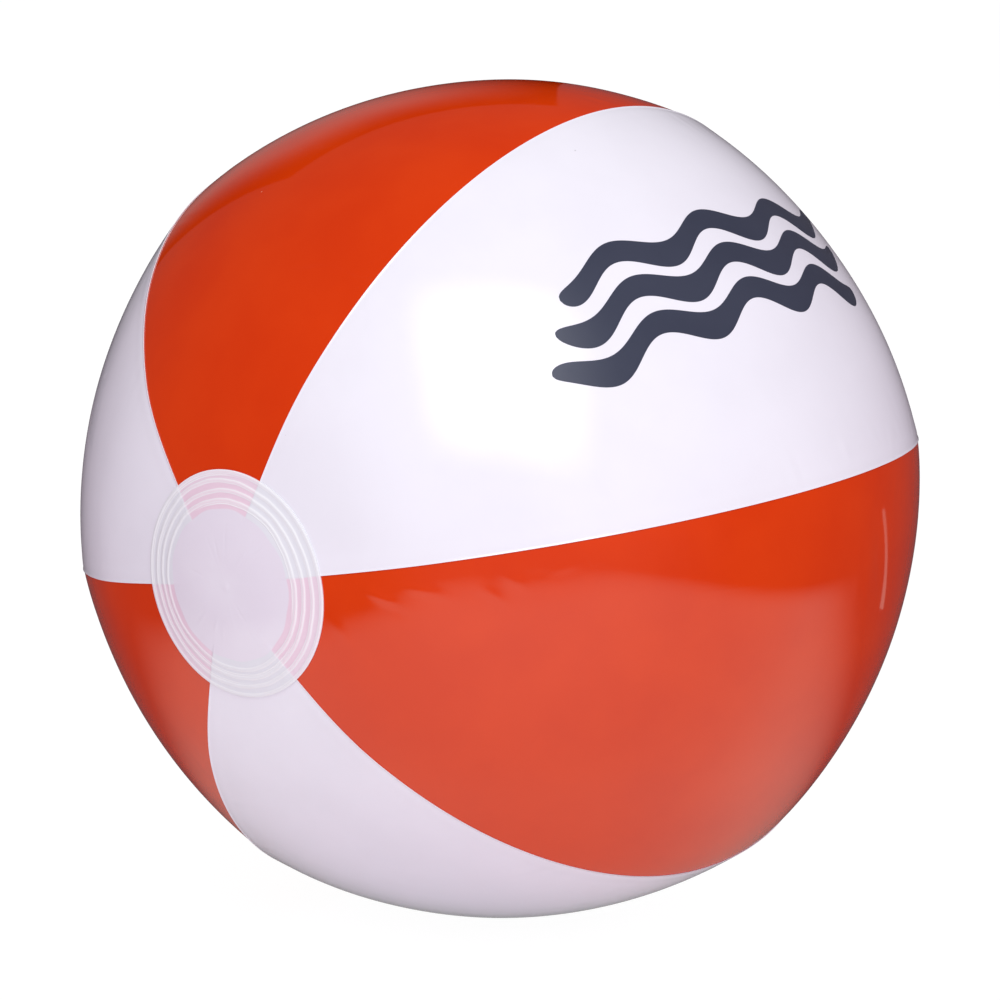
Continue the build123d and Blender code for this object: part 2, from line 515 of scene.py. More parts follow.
@dataclass
class Skin:
    """The outer surface of the blown-up ball, with all that welding and air do to it.

    Attributes:
        shape: The ball's sizes.
        puckers: Creases beside the seams.
        valve: Where the valve stands.
        valve_panel: Number of the panel that holds the valve.
        seam_round: How far from a seam the film is bent over it.
        cap_sink: How far the skin lies in at the front cap's rim.
        sink_end: Distance from the pole axis where the skin is back at its full height.
        flange_radius: Radius of the valve's flange behind the film.
        flange_print: How far the flange lifts the film.
        flange_welds: Radii of the two rings that weld the flange on.
        weld_height: Height of those rings.
        weld_half_width: Half width of those rings.
        lap_rise: How far the lap below lifts the white film.
        lap_fade: How far that rise reaches before and past the lap's edge.
        bead_height: Height of the bead along a seam's edge.
        bead_width: Distance from the edge at which the bead has fallen away.
    """

    shape: BallShape
    puckers: SeamPuckers
    valve: ValvePlace
    valve_panel: int = 2
    seam_round: float = 2.6 * MM
    cap_sink: float = 1.75 * MM
    sink_end: float = 66.0 * MM
    flange_radius: float = 17.025 * MM
    flange_print: float = 0.14 * MM
    flange_welds: tuple[float, float] = (11.6 * MM, 14.4 * MM)
    weld_height: float = 0.12 * MM
    weld_half_width: float = 0.45 * MM
    lap_rise: float = 0.11 * MM
    lap_fade: tuple[float, float] = (1.2 * MM, 3.0 * MM)
    bead_height: float = 0.2 * MM
    bead_width: float = 0.42 * MM

    def seam_spread(self, a: np.ndarray) -> np.ndarray:
        """Angle across a panel at which it meets its seam, for each angle along it.

        Args:
            a: Angle along the panel, from the equator towards the front pole.

        Returns:
            The angle across.
        """
        shape = self.shape
        slope = math.tan(shape.half_panel)
        reach = shape.seam_rise + (shape.pole_radius - shape.section_radius) * np.cos(a)
        lean = np.arctan(slope * np.cos(a))
        size = shape.section_radius * np.sqrt(1 + (slope * np.cos(a)) ** 2)
        return lean + np.arcsin(slope * reach / size)

    def on_panel(self, a: np.ndarray, b: np.ndarray) -> tuple[np.ndarray, np.ndarray]:
        """Plain panel surface with its middle on x and the front pole on z.

        Args:
            a: Angle along the panel, from the equator towards the front pole.
            b: Angle across the panel, from its middle.

        Returns:
            Points and outward normals.
        """
        shape = self.shape
        middle = (shape.pole_radius - shape.section_radius) + shape.section_radius * np.cos(b)
        points = np.stack(
            [
                shape.seam_rise + middle * np.cos(a),
                shape.section_radius * np.sin(b),
                middle * np.sin(a),
            ],
            axis=-1,
        )
        normals = np.stack([np.cos(b) * np.cos(a), np.sin(b), np.cos(b) * np.sin(a)], axis=-1)
        return points, normals

    def past_seam(self, vectors: np.ndarray, side: np.ndarray) -> np.ndarray:
        """Mirrors points or normals over the seam on one side of the panel, where side isn't 0.

        Args:
            vectors: Points or normals.
            side: 1 or -1 for the seam to mirror over, and 0 to stay.

        Returns:
            The mirrored points or normals.
        """
        half = self.shape.half_panel
        across = np.stack([np.full_like(side, math.sin(half)), -side * math.cos(half)], axis=-1)
        depth = (vectors[..., :2] * across).sum(-1) * np.abs(side)
        mirrored = vectors.copy()
        mirrored[..., :2] -= 2 * depth[..., None] * across
        return mirrored

    def seam_distances(self, points: np.ndarray) -> tuple[np.ndarray, np.ndarray]:
        """Distances from the seam before the panel and the seam after it, positive inside.

        Args:
            points: Places to measure.

        Returns:
            Distance from the seam before, and from the seam after.
        """
        half = self.shape.half_panel
        common = points[..., 0] * math.sin(half)
        tilt = points[..., 1] * math.cos(half)
        return common + tilt, common - tilt

    def seam_kink(self, a: np.ndarray) -> np.ndarray:
        """Slope at which a panel would fall away from a sharp seam.

        Args:
            a: Angle along the panel, from the equator towards the front pole.

        Returns:
            The slope.
        """
        spread = self.seam_spread(a)
        half = self.shape.half_panel
        return np.maximum(0.0, math.sin(half) * np.cos(spread) * np.cos(a) - math.cos(half) * np.sin(spread))

    def undulation(self, points: np.ndarray) -> np.ndarray:
        """Slow, shallow waves of the whole skin.

        Args:
            points: Places to measure.

        Returns:
            Height of the waves.
        """
        x, y, z = points[..., 0], points[..., 1], points[..., 2]
        first = np.sin(61 * x + 37 * y + 0.7) * np.sin(53 * z - 29 * y + 1.9)
        second = np.sin(97 * y + 44 * z + 2.6) * np.sin(83 * x - 61 * z + 0.3)
        return (0.10 * first + 0.04 * second) * MM

    def lap_lift(self, gap: np.ndarray) -> np.ndarray:
        """Rise of the white film where it lies over the lap of the red film.

        Args:
            gap: Distance from the seam.

        Returns:
            The rise.
        """
        edge = self.shape.lap_width
        over = 1.0 - smooth_step(gap, edge - self.lap_fade[0], edge + self.lap_fade[1])
        bead = self.bead_height * np.exp(-((gap / self.bead_width) ** 2))
        return self.lap_rise * over + bead

    def weld_relief(self, panel: int, a: np.ndarray, local: np.ndarray, pole_gap: np.ndarray) -> np.ndarray:
        """Height of seam rounding, creases and slow waves over the plain panel.

        Args:
            panel: Number of the panel.
            a: Angle along the panel.
            local: Points of the plain panel, middle on x.
            pole_gap: Distance of each point from the pole axis.

        Returns:
            Height along the normal.
        """
        shape = self.shape
        before, after = self.seam_distances(local)
        along = a * shape.pole_radius
        fall = np.exp(-np.abs(before) / self.seam_round) + np.exp(-np.abs(after) / self.seam_round)
        height = -self.seam_kink(a) * self.seam_round * fall
        creases = self.puckers.relief(panel, along, before)
        creases += self.puckers.relief((panel + 1) % shape.panel_count, along, -after)
        stiff = 1.0 - 0.8 * np.exp(-((np.minimum(before, after) / (3.5 * MM)) ** 2))
        outside_cap = smooth_step(pole_gap, shape.cap_radius, shape.cap_radius + 9 * MM)
        return height + creases * stiff * outside_cap

    def valve_relief(self, gap: np.ndarray) -> np.ndarray:
        """Print of the valve's flange in the film: a low table with two weld rings.

        Args:
            gap: Distance from the valve's axis.

        Returns:
            The height.
        """
        outside = smooth_step(gap, self.flange_radius, self.flange_radius + 1.5 * MM)
        relief = self.flange_print * (1.0 - outside)
        for radius in self.flange_welds:
            relief += self.weld_height * np.exp(-(((gap - radius) / self.weld_half_width) ** 4))
        return relief

    def sink(self, points: np.ndarray) -> np.ndarray:
        """Lets the skin lie in round both poles, where the caps hold it flat.

        Args:
            points: Points in the shared frame.

        Returns:
            The sunk points.
        """
        gap = np.linalg.norm(points[..., [0, 2]], axis=-1)
        depth = 1.0 - smooth_step(gap, 30.0 * MM, self.sink_end)
        depth = depth * (0.6 + 0.4 * smooth_step(gap, 8.0 * MM, 30.0 * MM))
        sunk = points.copy()
        sunk[..., 1] -= np.sign(points[..., 1]) * self.cap_sink * depth
        return sunk

    def to_frame(self, panel: int, local: np.ndarray) -> np.ndarray:
        """Turns a panel's own points or normals to where the panel stands.

        Args:
            panel: Number of the panel.
            local: The panel's own points or normals.

        Returns:
            Points or normals in the shared frame.
        """
        turn = self.shape.panel_turn(panel)
        x, y, z = local[..., 0], local[..., 1], local[..., 2]
        return np.stack(
            [
                x * math.cos(turn) - y * math.sin(turn),
                -z,
                x * math.sin(turn) + y * math.cos(turn),
            ],
            axis=-1,
        )

    def surface(
        self,
        panel: int,
        local: np.ndarray,
        normals: np.ndarray,
        a: np.ndarray,
        white: np.ndarray,
        lift: np.ndarray,
    ) -> np.ndarray:
        """Finished surface points over a panel's plain points.

        Args:
            panel: Number of the panel.
            local: Plain points, with the panel's middle on x.
            normals: Their outward normals.
            a: Angle along the panel at each point.
            white: Share of the white film's lap rise that each point takes.
            lift: Extra height over the film's outer side.

        Returns:
            Points in the shared frame.
        """
        before, after = self.seam_distances(local)
        pole_gap = np.linalg.norm(local[..., :2], axis=-1)
        height = self.weld_relief(panel, a, local, pole_gap)
        height = height + white * self.lap_lift(np.abs(np.minimum(before, after)))
        points = self.to_frame(panel, local)
        calm = np.ones_like(height)
        if panel == self.valve_panel:
            gap = self.valve.distance(points)
            calm = smooth_step(gap, self.flange_radius, self.flange_radius + 12 * MM)
            height = height + self.valve_relief(gap)
        height = height + self.undulation(points) * calm + lift
        return self.sink(points + height[..., None] * self.to_frame(panel, normals))


# ---------------------------------------------------------------------------
# Finishes


class Graph:
    """Short way to place and join shader nodes in one tree."""

    def __init__(self, tree: bpy.types.NodeTree) -> None:
        """Works in the given tree."""
        self.tree = tree

    def add(self, kind: str, **settings: object) -> bpy.types.Node:
        """Adds a node and sets its own options.

        Args:
            kind: Kind of node.
            **settings: Its options, by name.

        Returns:
            The node.
        """
        made = self.tree.nodes.new(kind)
        for name, value in settings.items():
            setattr(made, name, value)
        return made

    def feed(self, socket: bpy.types.NodeSocket, value: object) -> None:
        """Joins a socket to an output, or sets it to a plain value.

        Args:
            socket: The socket to set.
            value: An output, or a plain value.
        """
        if isinstance(value, bpy.types.NodeSocket):
            self.tree.links.new(value, socket)
        else:
            socket.default_value = value

    def maths(self, operation: str, *values: object) -> bpy.types.NodeSocket:
        """One step of arithmetic.

        Args:
            operation: Name of the operation.
            *values: Outputs or plain numbers.

        Returns:
            The result's output.
        """
        made = self.add("ShaderNodeMath", operation=operation)
        for number, value in enumerate(values):
            self.feed(made.inputs[number], value)
        return made.outputs[0]

    def spread(
        self, value: object, low: float, high: float, bottom: object = 0.0, top: object = 1.0
    ) -> bpy.types.NodeSocket:
        """Soft ramp of a value, from bottom at low to top at high.

        Args:
            value: What is looked at.
            low: Where the ramp starts.
            high: Where it ends.
            bottom: What it gives at low.
            top: What it gives at high.

        Returns:
            The result's output.
        """
        made = self.add("ShaderNodeMapRange", interpolation_type="SMOOTHSTEP")
        names = ("Value", "From Min", "From Max", "To Min", "To Max")
        for name, setting in zip(names, (value, low, high, bottom, top)):
            self.feed(made.inputs[name], setting)
        return made.outputs["Result"]

    def mix(self, share: object, first: object, second: object) -> bpy.types.NodeSocket:
        """Mixes two colours.

        Args:
            share: Share of the second colour.
            first: The first colour.
            second: The second colour.

        Returns:
            The mixed colour's output.
        """
        made = self.add("ShaderNodeMix", data_type="RGBA")
        self.feed(made.inputs[0], share)
        self.feed(made.inputs[6], first)
        self.feed(made.inputs[7], second)
        return made.outputs[2]

    def noise(self, place: object, scale: object, detail: float = 2.0) -> bpy.types.NodeSocket:
        """Soft noise from 0 to 1.

        Args:
            place: Where on the film to look.
            scale: How fine it is.
            detail: How many finer layers it has.

        Returns:
            The noise's output.
        """
        made = self.add("ShaderNodeTexNoise")
        self.feed(made.inputs["Vector"], place)
        self.feed(made.inputs["Scale"], scale)
        made.inputs["Detail"].default_value = detail
        return made.outputs[0]

    def note(self, name: str) -> bpy.types.NodeSocket:
        """A number stored on the points of the piece."""
        return self.add("ShaderNodeAttribute", attribute_name=name).outputs["Fac"]


class FilmGrain:
    """Marks that every film of the ball shares: cloudiness, rub marks, dust and a fine ripple."""

    INPUTS = {"Cloud Size": 30.0, "Dust": 0.5, "Rub": 0.5, "Ripple": 1.0}
    OUTPUTS = ("Cloud", "Dust", "Rub", "Height")
    SPECK_CELLS = 120.0
    SPECK_SHARE = 0.06
    SPECK_HEIGHT = 2e-5
    RUB_TURN = (0.4, 0.7, 0.2)
    RUB_STRETCH = (9.0, 46.0, 30.0)
    RUB_DEPTH = 2e-6

    def __init__(self) -> None:
        """Builds the group once."""
        self.tree = bpy.data.node_groups.new("FilmGrain", "ShaderNodeTree")
        face = self.tree.interface
        for name, value in self.INPUTS.items():
            socket = face.new_socket(name, in_out="INPUT", socket_type="NodeSocketFloat")
            socket.default_value = value
        for name in self.OUTPUTS:
            face.new_socket(name, in_out="OUTPUT", socket_type="NodeSocketFloat")
        self.wire(Graph(self.tree))

    def wire(self, graph: Graph) -> None:
        """Places the group's nodes.

        Args:
            graph: Where the nodes are placed.
        """
        source = graph.add("NodeGroupInput").outputs
        result = graph.add("NodeGroupOutput").inputs
        place = graph.add("ShaderNodeTexCoord").outputs["Object"]
        graph.feed(result["Cloud"], graph.spread(graph.noise(place, source["Cloud Size"], 3.0), 0.32, 0.68))
        dust = self.dust(graph, place, source["Dust"])
        rub = self.rub(graph, place, source["Rub"])
        graph.feed(result["Dust"], dust)
        graph.feed(result["Rub"], rub)
        graph.feed(result["Height"], self.height(graph, place, source["Ripple"], dust, rub))

    def dust(self, graph: Graph, place: object, share: object) -> bpy.types.NodeSocket:
        """Mask of small round specks, in few of the cells.

        Args:
            graph: Where the nodes are placed.
            place: Where on the film to look.
            share: How many of the specks are there.

        Returns:
            The mask's output.
        """
        cells = graph.add("ShaderNodeTexVoronoi")
        graph.feed(cells.inputs["Vector"], place)
        cells.inputs["Scale"].default_value = self.SPECK_CELLS
        spot = graph.spread(cells.outputs["Distance"], 0.03, 0.045, 1.0, 0.0)
        parts = graph.add("ShaderNodeSeparateColor")
        graph.feed(parts.inputs[0], cells.outputs["Color"])
        chosen = graph.maths("LESS_THAN", parts.outputs[0], graph.maths("MULTIPLY", share, self.SPECK_SHARE))
        return graph.maths("MULTIPLY", spot, chosen)

    def rub(self, graph: Graph, place: object, share: object) -> bpy.types.NodeSocket:
        """Mask of thin rub marks.

        Args:
            graph: Where the nodes are placed.
            place: Where on the film to look.
            share: How strong the marks are.

        Returns:
            The mask's output.
        """
        stretch = graph.add("ShaderNodeMapping")
        graph.feed(stretch.inputs["Vector"], place)
        stretch.inputs["Rotation"].default_value = self.RUB_TURN
        stretch.inputs["Scale"].default_value = self.RUB_STRETCH
        lines = graph.noise(stretch.outputs[0], 1.0, 3.0)
        off_line = graph.maths("ABSOLUTE", graph.maths("SUBTRACT", lines, 0.5))
        line = graph.spread(off_line, 0.0, 0.006, 1.0, 0.0)
        patch = graph.spread(graph.noise(place, 17.0), 0.56, 0.66)
        return graph.maths("MULTIPLY", graph.maths("MULTIPLY", line, patch), share)

    def height(
        self, graph: Graph, place: object, ripple: object, dust: object, rub: object
    ) -> bpy.types.NodeSocket:
        """Height of the fine ripple, dust and rub marks, in metres.

        Args:
            graph: Where the nodes are placed.
            place: Where on the film to look.
            ripple: How strong the ripple is.
            dust: Mask of the specks.
            rub: Mask of the rub marks.

        Returns:
            The height's output.
        """
        broad = graph.maths("MULTIPLY", graph.noise(place, 120.0), 9e-6)
        fine = graph.maths("MULTIPLY", graph.noise(place, 800.0), 9e-7)
        wave = graph.maths("MULTIPLY", graph.maths("ADD", broad, fine), ripple)
        specks = graph.maths("MULTIPLY", dust, self.SPECK_HEIGHT)
        grooves = graph.maths("MULTIPLY", rub, self.RUB_DEPTH)
        return graph.maths("ADD", wave, graph.maths("SUBTRACT", specks, grooves))


@dataclass(frozen=True)
class FilmFinish:
    """Glossy welded film.

    Attributes:
        name: Name of the material.
        colour: Colour of the film.
        cloud_colour: Colour where it is slightly denser.
        dust_colour: Colour of specks on it.
        roughness: Roughness where it is clean.
        gloss_index: Index of refraction of its gloss.
        dust: How many specks it has.
        rub: How strong its rub marks are.
        ripple: How strong its fine ripple is.
        milkiness: How far light soaks into it.
    """

    name: str
    colour: tuple[float, float, float, float]
    cloud_colour: tuple[float, float, float, float]
    dust_colour: tuple[float, float, float, float]
    roughness: float = 0.06
    gloss_index: float = 1.53
    dust: float = 0.5
    rub: float = 0.5
    ripple: float = 1.0
    milkiness: float = 0.0

    def make(self, grain: FilmGrain) -> bpy.types.Material:
        """Builds the material round one shared grain group.

        Args:
            grain: The marks that all films share.

        Returns:
            The material.
        """
        material = bpy.data.materials.new(self.name)
        material.use_nodes = True
        graph = Graph(material.node_tree)
        shader = material.node_tree.nodes["Principled BSDF"]
        marks = graph.add("ShaderNodeGroup", node_tree=grain.tree)
        for name, value in (("Dust", self.dust), ("Rub", self.rub), ("Ripple", self.ripple)):
            marks.inputs[name].default_value = value
        colour = graph.mix(marks.outputs["Cloud"], self.colour, self.cloud_colour)
        colour = self.tint(graph, colour)
        colour = graph.mix(marks.outputs["Dust"], colour, self.dust_colour)
        graph.feed(shader.inputs["Base Color"], colour)
        rough = graph.maths("MULTIPLY", marks.outputs["Rub"], 0.25)
        rough = graph.maths("ADD", rough, graph.maths("MULTIPLY", marks.outputs["Dust"], 0.3))
        rough = graph.maths("ADD", rough, self.roughness_at(graph))
        graph.feed(shader.inputs["Roughness"], rough)
        bump = graph.add("ShaderNodeBump")
        bump.inputs["Distance"].default_value = 1.0
        graph.feed(bump.inputs["Height"], marks.outputs["Height"])
        graph.feed(shader.inputs["Normal"], bump.outputs["Normal"])
        shader.inputs["IOR"].default_value = self.gloss_index
        shader.inputs["Subsurface Weight"].default_value = self.milkiness
        shader.inputs["Subsurface Radius"].default_value = (1.0, 1.0, 1.0)
        shader.inputs["Subsurface Scale"].default_value = 0.6 * MM
        return material

    def tint(self, graph: Graph, colour: bpy.types.NodeSocket) -> bpy.types.NodeSocket:
        """Further colour over the plain film. Plain film has none."""
        return colour

    def roughness_at(self, graph: Graph) -> object:
        """Roughness before dust and rub marks."""
        return self.roughness


@dataclass(frozen=True)
class CapFinish(FilmFinish):
    """Milky cap film, with the red panels showing through and whiter weld rings.

    Attributes:
        red_colour: Colour where a red panel shows through.
        weld_colour: Colour on a weld ring.
        overlap_colour: Colour where the cap lies on a white panel.
    """

    red_colour: tuple[float, float, float, float] = seen_colour(236, 210, 226)
    weld_colour: tuple[float, float, float, float] = seen_colour(246, 247, 250)
    overlap_colour: tuple[float, float, float, float] = seen_colour(230, 231, 239)

    def tint(self, graph: Graph, colour: bpy.types.NodeSocket) -> bpy.types.NodeSocket:
        """Adds the overlap, the red that shows through and the weld rings.

        Args:
            graph: Where the nodes are placed.
            colour: Colour of the plain film.

        Returns:
            The colour with all of them.
        """
        colour = graph.mix(graph.note("overlap"), colour, self.overlap_colour)
        colour = graph.mix(graph.note("red_below"), colour, self.red_colour)
        return graph.mix(graph.note("weld"), colour, self.weld_colour)

    def roughness_at(self, graph: Graph) -> object:
        """Weld rings are a little duller than the film."""
        return graph.maths("ADD", graph.maths("MULTIPLY", graph.note("weld"), 0.12), self.roughness)


@dataclass
class Finishes:
    """Every material of the ball, made once.

    Attributes:
        grain: The marks that all of them share.
        red: Film of the red panels.
        white: Film of the white panels.
        cap: Film of the pole caps.
        ink: Ink of the print.
        valve: Soft film of the valve.
    """

    grain: FilmGrain = field(default_factory=FilmGrain)
    red: bpy.types.Material = field(init=False)
    white: bpy.types.Material = field(init=False)
    cap: bpy.types.Material = field(init=False)
    ink: bpy.types.Material = field(init=False)
    valve: bpy.types.Material = field(init=False)

    def __post_init__(self) -> None:
        """Makes the materials."""
        self.red = FilmFinish(
            name="red_film",
            colour=seen_colour(219, 60, 8),
            cloud_colour=seen_colour(214, 55, 6),
            dust_colour=seen_colour(236, 150, 120),
        ).make(self.grain)
        self.white = FilmFinish(
            name="white_film",
            colour=seen_colour(240, 238, 248),
            cloud_colour=seen_colour(237, 235, 245),
            dust_colour=seen_colour(196, 192, 202),
            dust=0.35,
        ).make(self.grain)
        self.cap = CapFinish(
            name="cap_film",
            colour=seen_colour(236, 231, 242),
            cloud_colour=seen_colour(232, 225, 238),
            dust_colour=seen_colour(205, 205, 214),
            roughness=0.12,
            ripple=2.0,
        ).make(self.grain)
        self.ink = FilmFinish(
            name="print_ink",
            colour=seen_colour(62, 66, 83),
            cloud_colour=seen_colour(58, 62, 79),
            dust_colour=seen_colour(84, 88, 104),
            roughness=0.32,
            gloss_index=1.38,
            dust=0.8,
        ).make(self.grain)
        self.valve = FilmFinish(
            name="valve_film",
            colour=seen_colour(226, 230, 238),
            cloud_colour=seen_colour(217, 222, 232),
            dust_colour=seen_colour(190, 194, 204),
            roughness=0.18,
            rub=1.0,
            ripple=0.6,
            milkiness=0.35,
        ).make(self.grain)


# ---------------------------------------------------------------------------
# Pieces


@dataclass
class FilmPanel:
    """One welded film panel, from tip to tip.

    Attributes:
        skin: The surface that it follows.
        panel: Its number round the ball.
        colour: The film that it is cut from.
        rows: How many rows of points lie along it.
        step: Distance between its columns at the equator, away from the seams.
        hole_radius: Radius of the valve hole, or 0.
        fine_step: Distance between its columns where creases may lie.
        crease_zone: Where the finer columns start and end, from each seam.
        tip_range: Angles along the panel between which its tips end.
        tip_tries: How many times that range is halved.
    """

    skin: Skin
    panel: int
    colour: FilmColour
    rows: int = 261
    step: float = 1.9 * MM
    hole_radius: float = 0.0
    fine_step: float = 1.05 * MM
    crease_zone: tuple[float, float] = (7.0 * MM, 24.0 * MM)
    tip_range: tuple[float, float] = (math.radians(60), math.radians(89.5))
    tip_tries: int = 40

    @property
    def number(self) -> int:
        """Number of the panel among those of its colour, from 1."""
        return self.panel // 2 + 1

    @property
    def node(self) -> str:
        """The CAD node that the panel stands for."""
        return f"{self.colour.value}_gore_{self.number}"

    def columns(self) -> np.ndarray:
        """Places across the panel, from -1 at one seam to 1 at the other.

        Returns:
            The places, in order.
        """
        shape = self.skin.shape
        half_width = (shape.pole_radius + 2 * shape.seam_rise) * math.sin(shape.half_panel)
        edge = np.array([0.0, 0.12, 0.3, 0.5, 0.75, 1.05, 1.5, 2.0, 2.5, 3.0, 3.5, 4.0, 4.6, 5.3, 6.1]) * MM
        start, end = self.crease_zone
        outer = np.arange(start, end, self.fine_step)
        inner = np.linspace(end, half_width, round((half_width - end) / self.step) + 1)
        gaps = np.concatenate([edge, outer, inner])
        left = gaps / half_width - 1.0
        return np.concatenate([left, -left[-2::-1]])

    def tip_angle(self, across: np.ndarray) -> np.ndarray:
        """Angle along the panel at which each column reaches the space between the tips.

        Args:
            across: Place of each column, from -1 to 1.

        Returns:
            One angle for each column.
        """
        low = np.full_like(across, self.tip_range[0])
        high = np.full_like(across, self.tip_range[1])
        for _ in range(self.tip_tries):
            middle = (low + high) / 2
            points, _ = self.skin.on_panel(middle, across * self.skin.seam_spread(middle))
            outside = np.linalg.norm(points[..., :2], axis=-1) > self.skin.shape.tip_hole_radius
            low = np.where(outside, middle, low)
            high = np.where(outside, high, middle)
        return low

    def plain_grid(self) -> tuple[np.ndarray, np.ndarray, np.ndarray]:
        """Angles and seam sides of the panel's grid.

        Returns:
            Angle along, angle across, and 1 or -1 where a point lies past a seam.
        """
        across = self.columns()
        side = np.zeros_like(across)
        depth = np.zeros_like(across)
        if self.colour is FilmColour.RED:
            lap = np.array([3.0, 2.6, 1.8, 0.9, 0.25]) * MM
            across = np.concatenate([np.full(len(lap), -1.0), across, np.full(len(lap), 1.0)])
            side = np.concatenate([np.full(len(lap), -1.0), side, np.full(len(lap), 1.0)])
            depth = np.concatenate([lap, depth, lap[::-1]])
        shares = np.linspace(-1.0, 1.0, self.rows)
        a = shares[:, None] * self.tip_angle(across)[None, :]
        spread = self.skin.seam_spread(a)
        half = self.skin.shape.half_panel
        fall = math.sin(half) * np.sin(spread) * np.cos(a) + math.cos(half) * np.cos(spread)
        past = side[None, :] * depth[None, :] / (self.skin.shape.section_radius * fall)
        b = across[None, :] * spread - past
        return a, b, np.broadcast_to(side[None, :], a.shape).copy()

    def grid(self, lift: float) -> np.ndarray:
        """Finished points of one side of the film.

        Args:
            lift: Height over the film's outer side.

        Returns:
            Rows and columns of points.
        """
        a, b, side = self.plain_grid()
        local, normals = self.skin.on_panel(a, b)
        moved = self.skin.past_seam(local, side)
        normals = self.skin.past_seam(normals, side)
        white = np.full_like(a, 1.0 if self.colour is FilmColour.WHITE else 0.0)
        return self.skin.surface(self.panel, moved, normals, a, white, np.full_like(a, lift))

    def cut_hole(self, outer: np.ndarray, faces: np.ndarray) -> tuple[np.ndarray, np.ndarray]:
        """Opens the valve hole.

        Args:
            outer: Points of the film's outer side.
            faces: Its faces.

        Returns:
            The faces that stay, and how far each point moves to make the edge round.
        """
        flat = outer.reshape(-1, 3)
        valve = self.skin.valve
        middles = flat[faces].mean(axis=1)
        kept = faces[valve.distance(middles) > self.hole_radius]
        cut = faces[valve.distance(middles) <= self.hole_radius]
        edge = np.intersect1d(kept.ravel(), cut.ravel())
        offset = flat[edge] - valve.origin
        offset -= (offset @ valve.out)[:, None] * valve.out
        shift = np.zeros_like(flat)
        shift[edge] = offset * (self.hole_radius / np.linalg.norm(offset, axis=1) - 1.0)[:, None]
        return kept, shift

    def build(self, finish: bpy.types.Material, slot: Slot) -> bpy.types.Object:
        """Makes the panel as a closed film and stands it for its CAD node.

        Args:
            finish: The material it gets.
            slot: The record's slot that the material stands for. Not used.

        Returns:
            The new piece.
        """
        outer = self.grid(0.0)
        inner = self.grid(-self.skin.shape.film)
        rows, columns = outer.shape[:2]
        faces = grid_faces(rows, columns)
        points = np.concatenate([outer.reshape(-1, 3), inner.reshape(-1, 3)])
        if self.hole_radius:
            faces, shift = self.cut_hole(outer, faces)
            points = points + np.concatenate([shift, shift])
        closed = closed_faces([faces], rows * columns)
        points, closed = without_loose_points(points, closed)
        piece = new_object(f"{self.colour.value}_panel_{self.number}", points, closed)
        dress(piece, finish)
        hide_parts(self.node)
        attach(piece, "ball")
        return piece


def without_loose_points(
    points: np.ndarray, faces: list[list[int]]
) -> tuple[np.ndarray, list[list[int]]]:
    """Drops the points that no face uses.

    Args:
        points: All the points.
        faces: The faces, as point numbers.

    Returns:
        The points that stay, and the faces with their new numbers.
    """
    used = np.unique(np.concatenate([np.array(face) for face in faces]))
    if len(used) == len(points):
        return points, faces
    renumber = np.zeros(len(points), dtype=int)
    renumber[used] = np.arange(len(used))
    return points[used], [[int(renumber[corner]) for corner in face] for face in faces]


